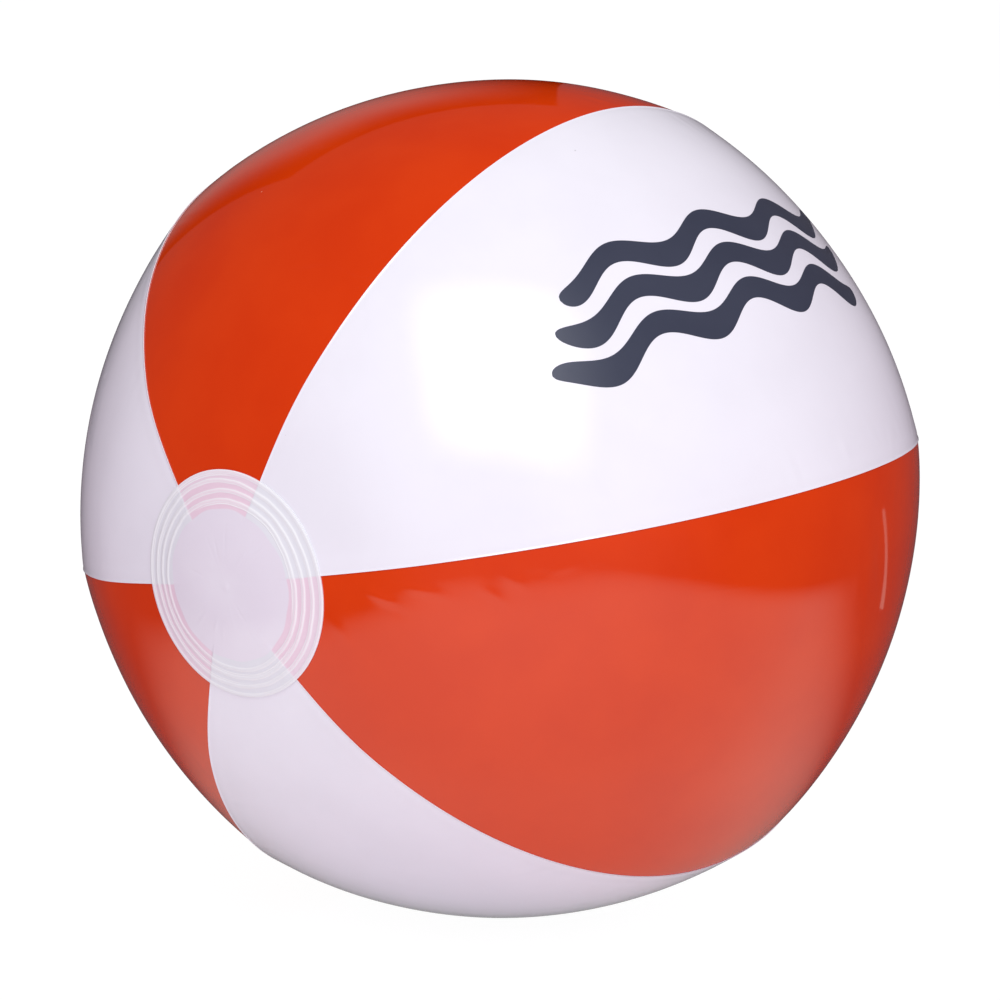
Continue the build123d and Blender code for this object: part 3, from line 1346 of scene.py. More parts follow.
@dataclass
class PoleCap:
    """Round cap of milky film, welded over the panel tips by four rings.

    Attributes:
        skin: The surface that it lies on.
        pole: 1 for the front pole and -1 for the rear one.
        offset: How far its middle lies off the pole axis, along X and Z.
        seed: Start of the random draws.
        around: How many points lie round it.
        weld_gaps: Distance of each weld ring's middle from the rim.
        weld_width: Width of a weld ring.
        weld_height: Height of a weld ring.
        crease_count: How many faint creases run out from the middle.
        base_lift: Height of the cap's underside over the skin.
    """

    skin: Skin
    pole: int
    offset: tuple[float, float] = (0.0, 0.0)
    seed: int = 3
    around: int = 480
    weld_gaps: tuple[float, ...] = (0.6 * MM, 3.3 * MM, 6.0 * MM, 8.6 * MM)
    weld_width: float = 1.15 * MM
    weld_height: float = 0.2 * MM
    crease_count: int = 13
    base_lift: float = 0.01 * MM

    def radii(self) -> np.ndarray:
        """Distances of the rings of points from the middle.

        Returns:
            The distances, from the middle outwards.
        """
        radius = self.skin.shape.cap_radius
        start = radius - 11.5 * MM
        inner = np.linspace(0.5 * MM, start, 22)
        return np.concatenate([inner, np.linspace(start, radius, 78)[1:]])

    def weld(self, radius: np.ndarray, angle: np.ndarray) -> np.ndarray:
        """Share of a weld ring's height at each place.

        Args:
            radius: Distance from the cap's middle at each place.
            angle: Angle round the cap at each place.

        Returns:
            The share, 1 on a ring's ridge.
        """
        draw = np.random.default_rng(self.seed)
        total = np.zeros_like(radius)
        for gap in self.weld_gaps:
            wobble = np.zeros_like(angle)
            for turns in (2, 3, 5, 9, 17, 31):
                size = draw.uniform(0.04, 0.11) * MM / math.sqrt(turns)
                wobble += size * 2.2 * np.sin(turns * angle + draw.uniform(0, 2 * math.pi))
            middle = self.skin.shape.cap_radius - gap + wobble * (gap > 1 * MM)
            ridge = np.exp(-(((radius - middle) / (self.weld_width / 2)) ** 2) * 1.2)
            start = draw.uniform(0, 2 * math.pi)
            second = smooth_step(np.cos(angle - start), 0.1, 0.7)
            echo = np.exp(-(((radius - middle + 0.95 * MM) / (0.2 * MM)) ** 2))
            total = np.maximum(total, np.maximum(ridge, 0.55 * second * echo))
        return total

    def weld_lines(self, weld: np.ndarray) -> np.ndarray:
        """Share of the bright lines along both flanks of the weld rings."""
        flanks = np.exp(-(((weld - 0.5) / 0.24) ** 2))
        return np.clip(0.95 * flanks + 0.4 * smooth_step(weld, 0.6, 0.95), 0.0, 1.0)

    def creases(self, radius: np.ndarray, angle: np.ndarray) -> np.ndarray:
        """Faint creases that run out from the middle.

        Args:
            radius: Distance from the cap's middle at each place.
            angle: Angle round the cap at each place.

        Returns:
            Height of the creases.
        """
        draw = np.random.default_rng(self.seed + 20)
        total = np.zeros_like(radius)
        for _ in range(self.crease_count):
            turn = draw.uniform(0, 2 * math.pi)
            middle = draw.uniform(7, 17) * MM
            length = draw.uniform(2.0, 5.0) * MM
            height = draw.choice([-1.0, 1.0]) * draw.uniform(0.02, 0.055) * MM
            sideways = radius * np.sin(angle - turn)
            ahead = np.cos(angle - turn) > 0
            line = np.exp(-((sideways / (0.45 * MM)) ** 2) - ((radius - middle) / length) ** 2)
            total += height * line * ahead
        nub = 0.14 * MM * np.exp(-(((radius - 0.2 * MM) / (0.7 * MM)) ** 4))
        return total + nub

    def plain(self, radius: np.ndarray, angle: np.ndarray) -> tuple[np.ndarray, ...]:
        """Plain panel geometry under each place of the cap.

        Args:
            radius: Distance from the cap's middle.
            angle: Angle round the cap, from X towards Z.

        Returns:
            Number of the panel, its own points, normals, and angle along it.
        """
        shape = self.skin.shape
        east = self.offset[0] + radius * np.cos(angle)
        north = self.offset[1] + radius * np.sin(angle)
        turn = np.mod(np.arctan2(north, east) - shape.first_seam, 2 * math.pi)
        panel = np.minimum(turn // (2 * shape.half_panel), shape.panel_count - 1).astype(int)
        off_middle = turn - (2 * panel + 1) * shape.half_panel
        reach = np.hypot(east, north)
        x = reach * np.cos(off_middle)
        y = reach * np.sin(off_middle)
        b = np.arcsin(y / shape.section_radius)
        middle = (shape.pole_radius - shape.section_radius) + shape.section_radius * np.cos(b)
        a = np.arccos(np.clip((x - shape.seam_rise) / middle, 0.0, 1.0)) * self.pole
        local = np.stack([x, y, middle * np.sin(a)], axis=-1)
        _, normals = self.skin.on_panel(a, b)
        return panel, local, normals, a

    def side(self, radius: np.ndarray, angle: np.ndarray, lift: np.ndarray) -> tuple[np.ndarray, np.ndarray]:
        """Finished points of one side of the cap, and how far each lies inside a red panel.

        Args:
            radius: Distance from the cap's middle at each place.
            angle: Angle round the cap at each place.
            lift: Height over the film's outer side.

        Returns:
            The points, and the distance inside a red panel, below 0 outside.
        """
        panel, local, normals, a = self.plain(radius, angle)
        points = np.zeros_like(local)
        red_gap = np.zeros_like(radius)
        shape = self.skin.shape
        for number in range(shape.panel_count):
            here = panel == number
            before, after = self.skin.seam_distances(local[here])
            gap = np.minimum(before, after)
            red_gap[here] = gap if number % 2 else -gap
            rise = np.linalg.norm(local[here][:, :2], axis=1)
            rise = smooth_step(rise, shape.tip_hole_radius - 4 * MM, shape.tip_hole_radius)
            white = (1.0 - smooth_step(red_gap[here], -0.7 * MM, 0.3 * MM)) * rise
            points[here] = self.skin.surface(number, local[here], normals[here], a[here], white, lift[here])
        return points, red_gap

    def build(self, name: str, node: str, finish: bpy.types.Material) -> bpy.types.Object:
        """Makes the cap as a closed film and stands it for its CAD node.

        Args:
            name: Name of the piece.
            node: The CAD node that it stands for.
            finish: The material it gets.

        Returns:
            The new piece.
        """
        shape = self.skin.shape
        angles = np.arange(self.around) * 2 * math.pi / self.around
        radius, angle = np.meshgrid(self.radii(), angles, indexing="ij")
        radius = np.concatenate([np.zeros(1), radius.ravel()])
        angle = np.concatenate([np.zeros(1), angle.ravel()])
        weld = self.weld(radius, angle)
        top = shape.cap_film + self.weld_height * weld + self.creases(radius, angle)
        outer, red_gap = self.side(radius, angle, top)
        inner, _ = self.side(radius, angle, np.full_like(radius, self.base_lift))
        count = len(radius)
        rings = grid_faces(count // self.around, self.around, around=True) + 1
        first = np.arange(self.around)
        fan = np.stack([np.zeros_like(first), first + 1, (first + 1) % self.around + 1], axis=1)
        outward = [rings, fan[:, ::-1]] if self.pole > 0 else [rings[:, ::-1], fan]
        piece = new_object(name, np.concatenate([outer, inner]), closed_faces(outward, count))
        self.note(piece, radius, angle, weld, red_gap)
        dress(piece, finish)
        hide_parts(node)
        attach(piece, "ball")
        return piece

    def note(
        self,
        piece: bpy.types.Object,
        radius: np.ndarray,
        angle: np.ndarray,
        weld: np.ndarray,
        red_gap: np.ndarray,
    ) -> None:
        """Stores where the cap is welded and what lies below it.

        Args:
            piece: The cap.
            radius: Distance from the cap's middle at each place.
            angle: Angle round the cap at each place.
            weld: Share of a weld ring's height at each place.
            red_gap: How far each place lies inside a red panel.
        """
        shape = self.skin.shape
        fray = 0.14 * MM * (np.sin(5 * angle) + np.sin(13 * angle + 1.0))
        tip = shape.tip_hole_radius - 1.2 * MM + fray
        overlap = smooth_step(radius, tip - 0.2 * MM, tip + 0.2 * MM)
        red = smooth_step(red_gap + 0.5 * fray, -0.15 * MM, 0.15 * MM) * overlap
        outermost = smooth_step(radius, shape.cap_radius - 3.4 * MM, shape.cap_radius - 3.0 * MM)
        red = red * (1.0 - 0.2 * outermost)
        for name, values in (("weld", self.weld_lines(weld)), ("overlap", overlap), ("red_below", red)):
            note_on_points(piece, name, np.concatenate([values, values]))


@dataclass
class WavePrint:
    """Generic printed motif of three waves along the middle of a white panel.

    Attributes:
        skin: The surface that it is printed on.
        panel: Number of the panel.
        start: Distance of its front end from the equator.
        end: Distance of its rear end from the equator.
        middle: Distance of the motif from the middle of the panel.
        pitch: Distance from wave to wave.
        swing: Height of a wave.
        wave_length: Length of a wave.
        thickness: Half width of a band at its widest.
        ink: Height of the ink over the film.
        ink_base: Height of its underside over the film.
        stagger: How much further back each wave starts than the one before it.
        bands: Number of waves.
        stations: How many rows of points lie along a wave.
        strips: How many points lie across it.
    """

    skin: Skin
    panel: int = 0
    start: float = 82.0 * MM
    end: float = -52.0 * MM
    middle: float = 2.5 * MM
    pitch: float = 12.4 * MM
    swing: float = 3.5 * MM
    wave_length: float = 37.0 * MM
    thickness: float = 4.5 * MM
    ink: float = 0.03 * MM
    ink_base: float = 0.004 * MM
    stagger: float = 7.0 * MM
    bands: int = 3
    stations: int = 420
    strips: int = 9

    def band(self, number: int) -> tuple[np.ndarray, np.ndarray]:
        """Places along and across the panel of one wave's points.

        Args:
            number: Number of the wave, from 0.

        Returns:
            Distances along the panel, and distances from its middle.
        """
        share = np.linspace(0.0, 1.0, self.stations)
        along = self.start - self.stagger * number + (self.end - self.start) * share
        round_end = np.sqrt(np.clip(1.0 - np.abs(2 * share - 1.0) ** 16, 0.0, 1.0))
        swell = 0.86 + 0.14 * np.cos(2 * math.pi * along / self.wave_length + 0.8)
        half = self.thickness * swell * round_end + 0.01 * MM
        line = self.middle + (number - (self.bands - 1) / 2) * self.pitch
        line = line + self.swing * np.sin(2 * math.pi * along / self.wave_length)
        cross = np.linspace(-1.0, 1.0, self.strips)
        across = line[:, None] + half[:, None] * cross[None, :]
        return np.broadcast_to(along[:, None], across.shape), across

    def side(self, along: np.ndarray, across: np.ndarray, lift: float) -> np.ndarray:
        """Points of one side of a band.

        Args:
            along: Distance from the equator along the panel, towards the front pole.
            across: Distance from the panel's middle.
            lift: Height over the film's outer side.

        Returns:
            The points.
        """
        a = along / self.skin.shape.pole_radius
        b = np.arcsin(across / self.skin.shape.section_radius)
        local, normals = self.skin.on_panel(a, b)
        return self.skin.surface(self.panel, local, normals, a, np.zeros_like(a), np.full_like(a, lift))

    def build(self, finish: bpy.types.Material) -> bpy.types.Object:
        """Makes all the bands as one thin layer of ink.

        Args:
            finish: The material it gets.

        Returns:
            The new piece.
        """
        points: list[np.ndarray] = []
        faces: list[list[int]] = []
        count = self.stations * self.strips
        for number in range(self.bands):
            along, across = self.band(number)
            start = 2 * count * number
            points.append(self.side(along, across, self.ink).reshape(-1, 3))
            points.append(self.side(along, across, self.ink_base).reshape(-1, 3))
            outward = grid_faces(self.stations, self.strips)[:, ::-1]
            faces += [[corner + start for corner in face] for face in closed_faces([outward], count)]
        piece = new_object("wave_print", np.concatenate(points), faces)
        dress(piece, finish)
        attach(piece, "ball")
        return piece


@dataclass
class AirValve:
    """Air valve: the soft skirt and the folded strap, and the moulded pieces from CAD.

    Attributes:
        place: Where the valve stands.
        hole_radius: Radius of the hole that the skirt hangs in.
        foot_radius: Radius of the stem's foot, which the skirt holds.
        depth: How far below the skin the foot's top lies.
        strap_width: Width of the strap.
        strap_thickness: Thickness of the strap.
        fold_radius: Radius of the strap's fold at its middle.
        lip_radius: Radius of the stem's lip.
        around: How many points lie round the skirt.
        skirt_drop: How far below the skin the skirt's top edge lies.
        strap_corner: Rounding of the strap's edges.
    """

    place: ValvePlace
    hole_radius: float = 9.025 * MM
    foot_radius: float = 4.6 * MM
    depth: float = 9.25 * MM
    strap_width: float = 3.2 * MM
    strap_thickness: float = 0.8 * MM
    fold_radius: float = 0.725 * MM
    lip_radius: float = 5.5 * MM
    around: int = 128
    skirt_drop: float = 0.55 * MM
    strap_corner: float = 0.22 * MM

    def skirt_section(self) -> np.ndarray:
        """Closed section of the skirt as radius and height: down its top side, back up below.

        Returns:
            Radius and height of each point.
        """
        share = np.linspace(0.0, 1.0, 46)
        top_start = self.hole_radius - 0.35 * MM
        foot = self.foot_radius + 0.06 * MM
        ease = smooth_step(share, -0.35, 1.25)
        ease = (ease - ease[0]) / (ease[-1] - ease[0])
        radius = top_start + (foot - top_start) * ease
        height = -self.skirt_drop - (self.depth - self.skirt_drop) * share
        ribs = 0.07 * MM * np.exp(-(((share - 0.3) / 0.02) ** 2))
        ribs = ribs + 0.07 * MM * np.exp(-(((share - 0.62) / 0.02) ** 2))
        top = np.stack([radius - ribs, height], axis=1)
        below = np.stack([radius + 0.58 * MM, height - 0.62 * MM], axis=1)[::-1]
        below[:, 0] = np.minimum(below[:, 0], self.hole_radius)
        rim = np.array([[self.hole_radius, -0.62 * MM], [self.hole_radius - 0.1 * MM, -0.5 * MM]])
        return np.concatenate([top, below, rim])

    def skirt(self, finish: bpy.types.Material) -> bpy.types.Object:
        """Soft funnel between the flange and the stem's foot, built only as it rests; the real skirt turns
        inside out when pulled.

        Args:
            finish: The material it gets.

        Returns:
            The new piece.
        """
        section = self.skirt_section()
        angles = np.arange(self.around) * 2 * math.pi / self.around
        fold = np.outer(section[:, 0], np.cos(angles))
        side = np.outer(section[:, 0], np.sin(angles))
        out = np.broadcast_to(section[:, 1:], fold.shape)
        points = self.place.to_frame(fold, side, out).reshape(-1, 3)
        rings = np.concatenate([np.arange(len(section)), [0]])
        faces = grid_faces(len(rings), self.around, around=True)
        faces = (rings[faces // self.around] * self.around + faces % self.around)[:, ::-1]
        piece = new_object("valve_skirt_film", points, faces.tolist())
        dress(piece, finish)
        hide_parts("valve_skirt")
        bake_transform(piece)
        return piece

    def strap_path(self) -> tuple[np.ndarray, np.ndarray]:
        """Middle line of the folded strap, and the direction of its thickness, as fold and out.

        Returns:
            The line's points, and one direction for each.
        """
        place = self.place
        legs = np.linspace(self.lip_radius - 0.25 * MM, place.hinge_offset, 8)
        turns = np.linspace(-math.pi / 2, math.pi / 2, 29)
        low = place.hinge_height - self.fold_radius
        high = place.hinge_height + self.fold_radius
        lower = np.stack([legs, np.full_like(legs, low)], axis=1)
        upper = np.stack([legs[::-1], np.full_like(legs, high)], axis=1)
        bend = np.stack(
            [
                place.hinge_offset + self.fold_radius * np.cos(turns),
                place.hinge_height + self.fold_radius * np.sin(turns),
            ],
            axis=1,
        )
        line = np.concatenate([lower[:-1], bend, upper[1:]])
        ahead = unit(np.gradient(line, axis=0))
        return line, np.stack([-ahead[:, 1], ahead[:, 0]], axis=1)

    def strap(self, finish: bpy.types.Material) -> bpy.types.Object:
        """Band from the lip to the stopper's head, folded over on itself.

        Args:
            finish: The material it gets.

        Returns:
            The new piece.
        """
        line, thick = self.strap_path()
        corner = self.strap_corner
        width = self.strap_width / 2 - corner
        height = self.strap_thickness / 2 - corner
        turns = np.linspace(0, 2 * math.pi, 24, endpoint=False) + math.pi / 24
        across = np.sign(np.cos(turns)) * width + corner * np.cos(turns)
        through = np.sign(np.sin(turns)) * height + corner * np.sin(turns)
        fold = line[:, :1] + thick[:, :1] * through[None, :]
        out = line[:, 1:] + thick[:, 1:] * through[None, :]
        side = np.broadcast_to(across[None, :], fold.shape)
        points = self.place.to_frame(fold, side, out).reshape(-1, 3)
        faces = grid_faces(len(line), len(turns), around=True).tolist()
        last = (len(line) - 1) * len(turns)
        faces.append(list(range(len(turns)))[::-1])
        faces.append([last + number for number in range(len(turns))])
        piece = new_object("stopper_band", points, faces)
        dress(piece, finish)
        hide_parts("stopper_strap")
        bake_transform(piece)
        return piece

    def moulded(self, finish: bpy.types.Material) -> None:
        """Gives the moulded CAD pieces their finish.

        Args:
            finish: The material they get.
        """
        for name in ("valve_flange", "valve_stem", "valve_stopper", "check_flap"):
            node = frame["nodes"][name]
            if not node.material_slots:
                node.data.materials.append(finish)
            for holder in node.material_slots:
                holder.material = finish
            LOG.info("dressed %s", name)

    def build(self, finish: bpy.types.Material) -> list[bpy.types.Object]:
        """Makes the skirt and the strap and dresses the moulded pieces."""
        self.moulded(finish)
        return [self.skirt(finish), self.strap(finish)]


# ---------------------------------------------------------------------------
# Studio


@dataclass(frozen=True)
class ReflectionCard:
    """Soft-edged bright card that only glossy surfaces see.

    Attributes:
        name: Name of the card.
        azimuth: Degrees round the ball, 0 towards -Y and 90 towards +X.
        elevation: Degrees above the horizon.
        distance: Distance from the middle of the ball.
        width: Width of the card.
        height: Height of the card.
        radiance: Brightness of its middle.
        edge: Share of the half size over which it fades out.
    """

    name: str
    azimuth: float
    elevation: float
    distance: float
    width: float
    height: float
    radiance: float
    edge: float

    def build(self) -> bpy.types.Object:
        """Hangs the card so that it faces the ball.

        Returns:
            The card.
        """
        towards = Vector(direction(self.azimuth, self.elevation))
        corners = np.array([(-1, -1, 0), (1, -1, 0), (1, 1, 0), (-1, 1, 0)]) / 2
        card = new_object(self.name, corners * (self.width, self.height, 0), [[0, 1, 2, 3]])
        card.location = towards * self.distance
        card.rotation_mode = "QUATERNION"
        card.rotation_quaternion = towards.to_track_quat("Z", "Y")
        card.data.materials.append(self.material())
        only_reflected(card)
        return card

    def material(self) -> bpy.types.Material:
        """Light that fades towards the card's edges.

        Returns:
            The material.
        """
        material = bpy.data.materials.new(self.name)
        material.use_nodes = True
        graph = Graph(material.node_tree)
        material.node_tree.nodes.clear()
        place = graph.add("ShaderNodeSeparateXYZ")
        graph.feed(place.inputs[0], graph.add("ShaderNodeTexCoord").outputs["Object"])
        fades = []
        for axis, size in ((0, self.width), (1, self.height)):
            off_middle = graph.maths("ABSOLUTE", place.outputs[axis])
            fades.append(graph.spread(off_middle, size / 2 * (1 - self.edge), size / 2, 1.0, 0.0))
        light = graph.add("ShaderNodeEmission")
        shine = graph.maths("MULTIPLY", graph.maths("MULTIPLY", *fades), self.radiance)
        graph.feed(light.inputs["Strength"], shine)
        output = graph.add("ShaderNodeOutputMaterial")
        graph.feed(output.inputs["Surface"], light.outputs[0])
        material.cycles.emission_sampling = "NONE"
        return material


def only_reflected(item: bpy.types.Object) -> None:
    """Hides a studio item from everything but glossy reflections.

    Args:
        item: The studio item.
    """
    item.visible_camera = False
    item.visible_diffuse = False
    item.visible_shadow = False
    item.visible_transmission = False
    item.visible_volume_scatter = False
    item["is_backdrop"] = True


@dataclass
class Studio:
    """Pale floor, soft lights, reflection cards and the camera.

    Attributes:
        floor_height: Height of the floor.
        camera_azimuth: Degrees round the ball.
        camera_elevation: Degrees above the horizon.
        camera_distance: Distance from the middle of the ball.
        lens: Focal length in millimetres, on a 36 mm sensor.
        aim_right: How far right of the middle the camera looks.
        aim_down: How far below the middle the camera looks.
        ambient_front: Strength of the soft light all round, on the camera's side.
        ambient_back: Its strength on the far side.
        ambient_colour: Its colour.
        reflected_room: Brightness of the room in the gloss.
        lit_wall: Brightness of the lit wall in the gloss.
        key_power: Power of the key light.
        back_power: Power of the light behind the ball.
        key_colour: Colour of both lights.
        light_size: Length of a side of both lights.
        light_distance: Distance of both lights from the middle of the ball.
        floor_reach: Distance from the middle of the floor to its sides.
        floor_shine: Brightness of the floor as the camera sees it.
        floor_reflection: Brightness of the table top in the gloss.
        strip_reflection: Brightness of the strip in the gloss.
        table_colour: Colour of both.
        table_shift: How far right of the ball the table top's middle lies.
        table_half_width: Half of the table top's width.
        table_depth: How far the table top reaches towards the camera.
    """

    floor_height: float
    camera_azimuth: float = 38.807
    camera_elevation: float = 14.318
    camera_distance: float = 1.2885
    lens: float = 150.8
    aim_right: float = 0.45 * MM
    aim_down: float = 0.25 * MM
    ambient_front: float = 0.72
    ambient_back: float = 0.26
    reflected_room: float = 0.085
    lit_wall: float = 0.30
    key_power: float = 14.0
    back_power: float = 7.0
    ambient_colour: tuple[float, float, float, float] = (1.0, 0.83, 0.93, 1.0)
    key_colour: tuple[float, float, float] = (0.93, 1.10, 1.01)
    light_size: float = 1.28
    light_distance: float = 1.6
    floor_reach: float = 14.0
    floor_shine: float = 1.05
    floor_reflection: float = 0.88
    strip_reflection: float = 0.45
    table_colour: tuple[float, float, float, float] = (0.94, 1.05, 0.94, 1.0)
    table_shift: float = 0.042
    table_half_width: float = 0.36
    table_depth: float = 0.69

    def camera(self) -> None:
        """Places the camera."""
        back = direction(self.camera_azimuth, self.camera_elevation)
        right = direction(self.camera_azimuth + 90, 0)
        upward = np.cross(back, right)
        shift = right * self.aim_right - upward * self.aim_down
        data = bpy.data.cameras.new("camera")
        data.sensor_width = 36.0
        data.lens = self.lens
        data.clip_end = 50.0
        camera = bpy.data.objects.new("camera", data)
        camera.location = back * self.camera_distance + shift
        camera.rotation_mode = "QUATERNION"
        camera.rotation_quaternion = Vector(back).to_track_quat("Z", "Y")
        bpy.context.scene.collection.objects.link(camera)
        bpy.context.scene.camera = camera

    def floor(self) -> None:
        """Lays a plain pale floor."""
        corners = np.array([(-1, -1), (1, -1), (1, 1), (-1, 1)]) * self.floor_reach
        points = np.column_stack([corners, np.full(4, self.floor_height)])
        floor = new_object("floor", points, [[0, 1, 2, 3]])
        material = bpy.data.materials.new("pale_floor")
        material.use_nodes = True
        graph = Graph(material.node_tree)
        shader = material.node_tree.nodes["Principled BSDF"]
        place = graph.add("ShaderNodeTexCoord").outputs["Object"]
        pale = graph.mix(graph.noise(place, 3.0), (0.92, 0.86, 0.91, 1.0), (0.94, 0.88, 0.93, 1.0))
        graph.feed(shader.inputs["Base Color"], pale)
        shader.inputs["Roughness"].default_value = 0.9
        shader.inputs["Specular IOR Level"].default_value = 0.0
        lit = graph.add("ShaderNodeEmission")
        lit.inputs["Strength"].default_value = self.floor_shine
        joined = graph.add("ShaderNodeMixShader")
        seen = graph.add("ShaderNodeLightPath").outputs["Is Camera Ray"]
        graph.feed(joined.inputs[0], graph.maths("MULTIPLY", seen, 0.93))
        graph.feed(joined.inputs[1], shader.outputs[0])
        graph.feed(joined.inputs[2], lit.outputs[0])
        output = material.node_tree.nodes["Material Output"]
        graph.feed(output.inputs["Surface"], joined.outputs[0])
        material.cycles.emission_sampling = "NONE"
        floor.data.materials.append(material)
        floor.visible_glossy = False
        floor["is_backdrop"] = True

    def floor_points(self, outline: list[tuple[float, float]], lift: float) -> np.ndarray:
        """Places on the floor, from distances to the right and towards the camera.

        Args:
            outline: Distances to the right and towards the camera.
            lift: Height over the floor.

        Returns:
            The points.
        """
        right = direction(self.camera_azimuth + 90, 0)
        towards = direction(self.camera_azimuth, 0)
        points = [right * x + towards * y for x, y in outline]
        return np.array(points) + np.array([0.0, 0.0, self.floor_height + lift])

    def floor_glow(self, name: str, outline: list[tuple[float, float]], lift: float) -> Graph:
        """Adds a glowing shape on the floor that only gloss sees.

        Args:
            name: Name of the shape.
            outline: Its corners, to the right and towards the camera.
            lift: Height over the floor.

        Returns:
            The shape's shader graph, with a node named light.
        """
        card = new_object(name, self.floor_points(outline, lift), [list(range(len(outline)))])
        material = bpy.data.materials.new(name)
        material.use_nodes = True
        material.node_tree.nodes.clear()
        graph = Graph(material.node_tree)
        light = graph.add("ShaderNodeEmission", name="light")
        light.inputs["Color"].default_value = self.table_colour
        both = graph.add("ShaderNodeAddShader")
        graph.feed(both.inputs[0], light.outputs[0])
        graph.feed(both.inputs[1], graph.add("ShaderNodeBsdfTransparent").outputs[0])
        output = graph.add("ShaderNodeOutputMaterial")
        graph.feed(output.inputs["Surface"], both.outputs[0])
        material.cycles.emission_sampling = "NONE"
        card.data.materials.append(material)
        only_reflected(card)
        return graph

    def light_up(self, graph: Graph, radiance: object) -> None:
        """Sets how bright a glowing shape on the floor is."""
        graph.feed(graph.tree.nodes["light"].inputs["Strength"], radiance)

    def table_reflection(self) -> None:
        """Bright half round table top that the glossy film mirrors, with a painted contact shadow that dims
        it close to the ball.
        """
        outline = [(-0.8, -0.1), (0.9, -0.1), (0.9, 1.0), (-0.8, 1.0)]
        graph = self.floor_glow("table_glow", outline, 0.2 * MM)
        turn = graph.add("ShaderNodeVectorRotate", rotation_type="Z_AXIS")
        graph.feed(turn.inputs["Vector"], graph.add("ShaderNodeTexCoord").outputs["Object"])
        turn.inputs["Angle"].default_value = -math.radians(self.camera_azimuth)
        place = graph.add("ShaderNodeSeparateXYZ")
        graph.feed(place.inputs[0], turn.outputs[0])
        aside = graph.maths("SUBTRACT", place.outputs[0], self.table_shift)
        aside = graph.maths("DIVIDE", aside, self.table_half_width)
        ahead = graph.maths("DIVIDE", place.outputs[1], -self.table_depth)
        aside = graph.maths("POWER", graph.maths("ABSOLUTE", aside), 5.0)
        powers = [aside, graph.maths("POWER", ahead, 2.0)]
        inside = graph.spread(graph.maths("ADD", *powers), 0.4, 1.7, 1.0, 0.0)
        edge = graph.spread(place.outputs[1], -0.085, 0.075, 1.0, 0.0)
        # Painted contact shadow: near the ball's foot the glow drops to 0.35, standing in for the shade the
        # ball casts on the table.
        measure = graph.add("ShaderNodeVectorMath", operation="LENGTH")
        graph.feed(measure.inputs[0], turn.outputs[0])
        clear = graph.spread(measure.outputs["Value"], -self.floor_height, 0.2, 0.35, 1.0)
        shine = graph.maths("MULTIPLY", graph.maths("MULTIPLY", inside, edge), clear)
        self.light_up(graph, graph.maths("MULTIPLY", shine, self.floor_reflection))

    def strip_reflection_on_floor(self) -> None:
        """Narrow bright strip at the far right that shows low in the gloss."""
        outline = [(0.627, -0.287), (0.299, -0.133), (0.288, -0.150), (0.598, -0.304)]
        self.light_up(self.floor_glow("strip_glow", outline, 0.4 * MM), self.strip_reflection)

    def soft_light(self, name: str, towards: np.ndarray, power: float) -> None:
        """Hangs one large square light that gloss doesn't see.

        Args:
            name: Name of the light.
            towards: Unit vector from the ball to the light.
            power: Power of the light, in watts.
        """
        data = bpy.data.lights.new(name, "AREA")
        data.shape = "SQUARE"
        data.size = self.light_size
        data.energy = power
        data.color = self.key_colour
        light = bpy.data.objects.new(name, data)
        light.location = towards * self.light_distance
        light.rotation_mode = "QUATERNION"
        light.rotation_quaternion = Vector(towards).to_track_quat("Z", "Y")
        light.visible_glossy = False
        bpy.context.scene.collection.objects.link(light)

    def lights(self) -> None:
        """Hangs the soft key light and the cards that show in the gloss."""
        self.soft_light("key_light", direction(42.1, 46.8), self.key_power)
        self.soft_light("back_light", direction(self.camera_azimuth + 180, 32), self.back_power)
        cards = [
            ReflectionCard(
                name="softbox_card",
                azimuth=38.0,
                elevation=46.0,
                distance=1.6,
                width=1.5,
                height=1.5,
                radiance=5.5,
                edge=0.7,
            ),
            ReflectionCard(
                name="left_wall_card",
                azimuth=-127,
                elevation=12,
                distance=2.0,
                width=1.2,
                height=1.6,
                radiance=0.22,
                edge=0.8,
            ),
        ]
        for card in cards:
            card.build()

    def room(self) -> None:
        """Sets what the world looks like to the camera, to matt surfaces and to gloss."""
        world = bpy.data.worlds.new("room")
        bpy.context.scene.world = world
        world.use_nodes = True
        graph = Graph(world.node_tree)
        background = world.node_tree.nodes["Background"]
        path = graph.add("ShaderNodeLightPath")
        facing = graph.add("ShaderNodeVectorMath", operation="DOT_PRODUCT")
        place = graph.add("ShaderNodeTexCoord").outputs["Generated"]
        graph.feed(facing.inputs[0], place)
        facing.inputs[1].default_value = tuple(direction(self.camera_azimuth + 25, 25))
        ambient = graph.spread(facing.outputs["Value"], -1.0, 1.0, self.ambient_back, self.ambient_front)
        glossy = path.outputs["Is Glossy Ray"]
        seen = path.outputs["Is Camera Ray"]
        graph.feed(background.inputs["Color"], graph.mix(seen, self.ambient_colour, (1.0, 1.0, 1.0, 1.0)))
        strength = graph.maths("MULTIPLY", ambient, graph.maths("SUBTRACT", 1.0, glossy))
        near = graph.add("ShaderNodeVectorMath", operation="DISTANCE")
        graph.feed(near.inputs[0], place)
        near.inputs[1].default_value = tuple(direction(self.camera_azimuth + 8, -4))
        wall = graph.spread(near.outputs["Value"], 0.3, 1.0, self.lit_wall, self.reflected_room)
        strength = graph.maths("ADD", strength, graph.maths("MULTIPLY", glossy, wall))
        strength = graph.maths("MAXIMUM", strength, seen)
        graph.feed(background.inputs["Strength"], strength)
        world.cycles.sampling_method = "NONE"

    def build(self) -> None:
        """Sets up the whole studio."""
        self.camera()
        self.floor()
        self.table_reflection()
        self.strip_reflection_on_floor()
        self.lights()
        self.room()
        bpy.context.scene.view_settings.view_transform = "Standard"


# ---------------------------------------------------------------------------


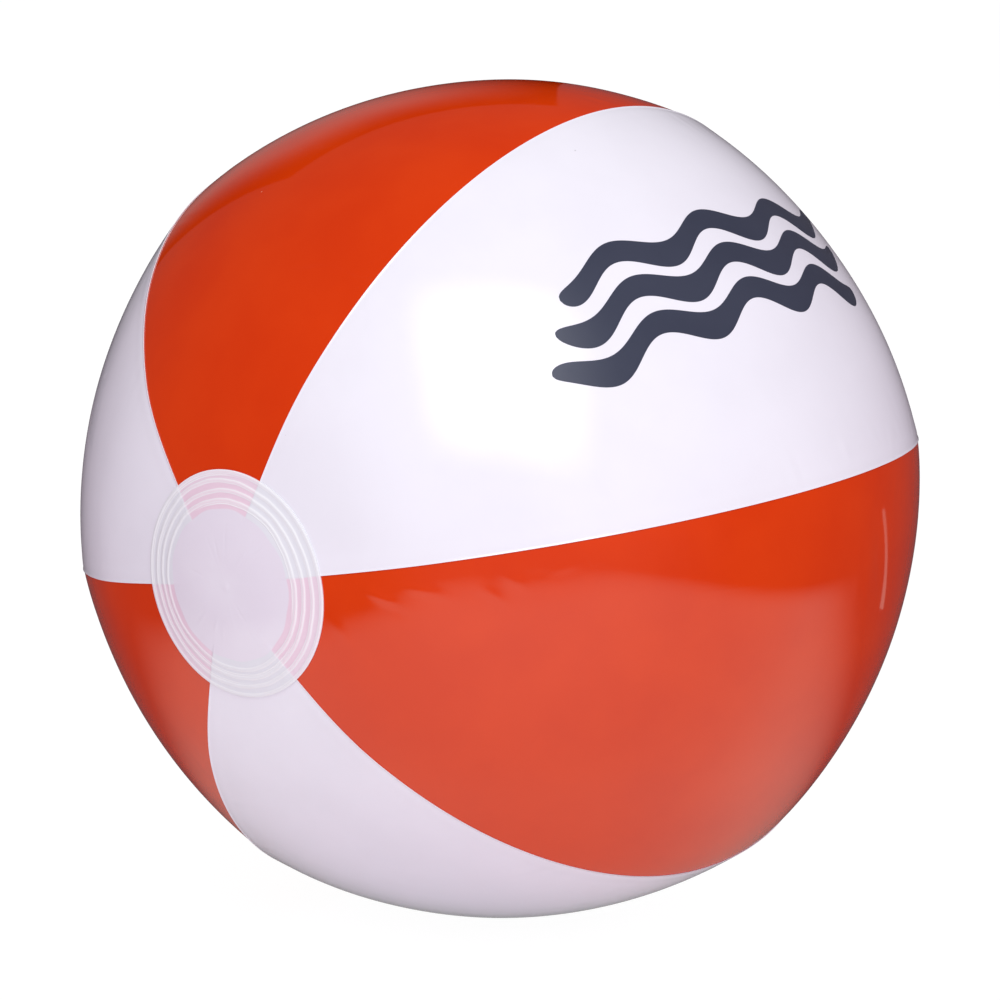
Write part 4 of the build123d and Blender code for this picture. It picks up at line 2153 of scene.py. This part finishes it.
def main() -> None:
    """Builds the ball piece by piece, then the studio."""
    logging.basicConfig(level=logging.INFO, format="%(message)s")
    shape = BallShape.from_frame()
    finishes = Finishes()
    valve_place = ValvePlace()
    skin = Skin(shape, SeamPuckers(shape), valve_place)
    valve = AirValve(valve_place)
    films = {
        FilmColour.WHITE: (finishes.white, Slot.WHITE_FILM),
        FilmColour.RED: (finishes.red, Slot.RED_FILM),
    }
    for number in range(shape.panel_count):
        colour = FilmColour.RED if number % 2 else FilmColour.WHITE
        panel = FilmPanel(skin, number, colour)
        if number == skin.valve_panel:
            panel.hole_radius = valve.hole_radius
            panel.step = 1.0 * MM
        piece = panel.build(*films[colour])
        LOG.info("built %s with %d points", piece.name, len(piece.data.vertices))
    caps = [
        ("front_cap_film", "front_pole_cap", PoleCap(skin, 1, offset=(0.0, -1.1 * MM), seed=3)),
        ("rear_cap_film", "rear_pole_cap", PoleCap(skin, -1, offset=(0.5 * MM, 0.4 * MM), seed=8)),
    ]
    for name, node, cap in caps:
        piece = cap.build(name, node, finishes.cap)
        LOG.info("built %s with %d points", piece.name, len(piece.data.vertices))
    LOG.info("built %s", WavePrint(skin).build(finishes.ink).name)
    for piece in valve.build(finishes.valve):
        LOG.info("built %s", piece.name)
    Studio(floor_height=min(CAD_BOX[0].z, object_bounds()[0].z)).build()


if __name__ == "__main__":
    main()
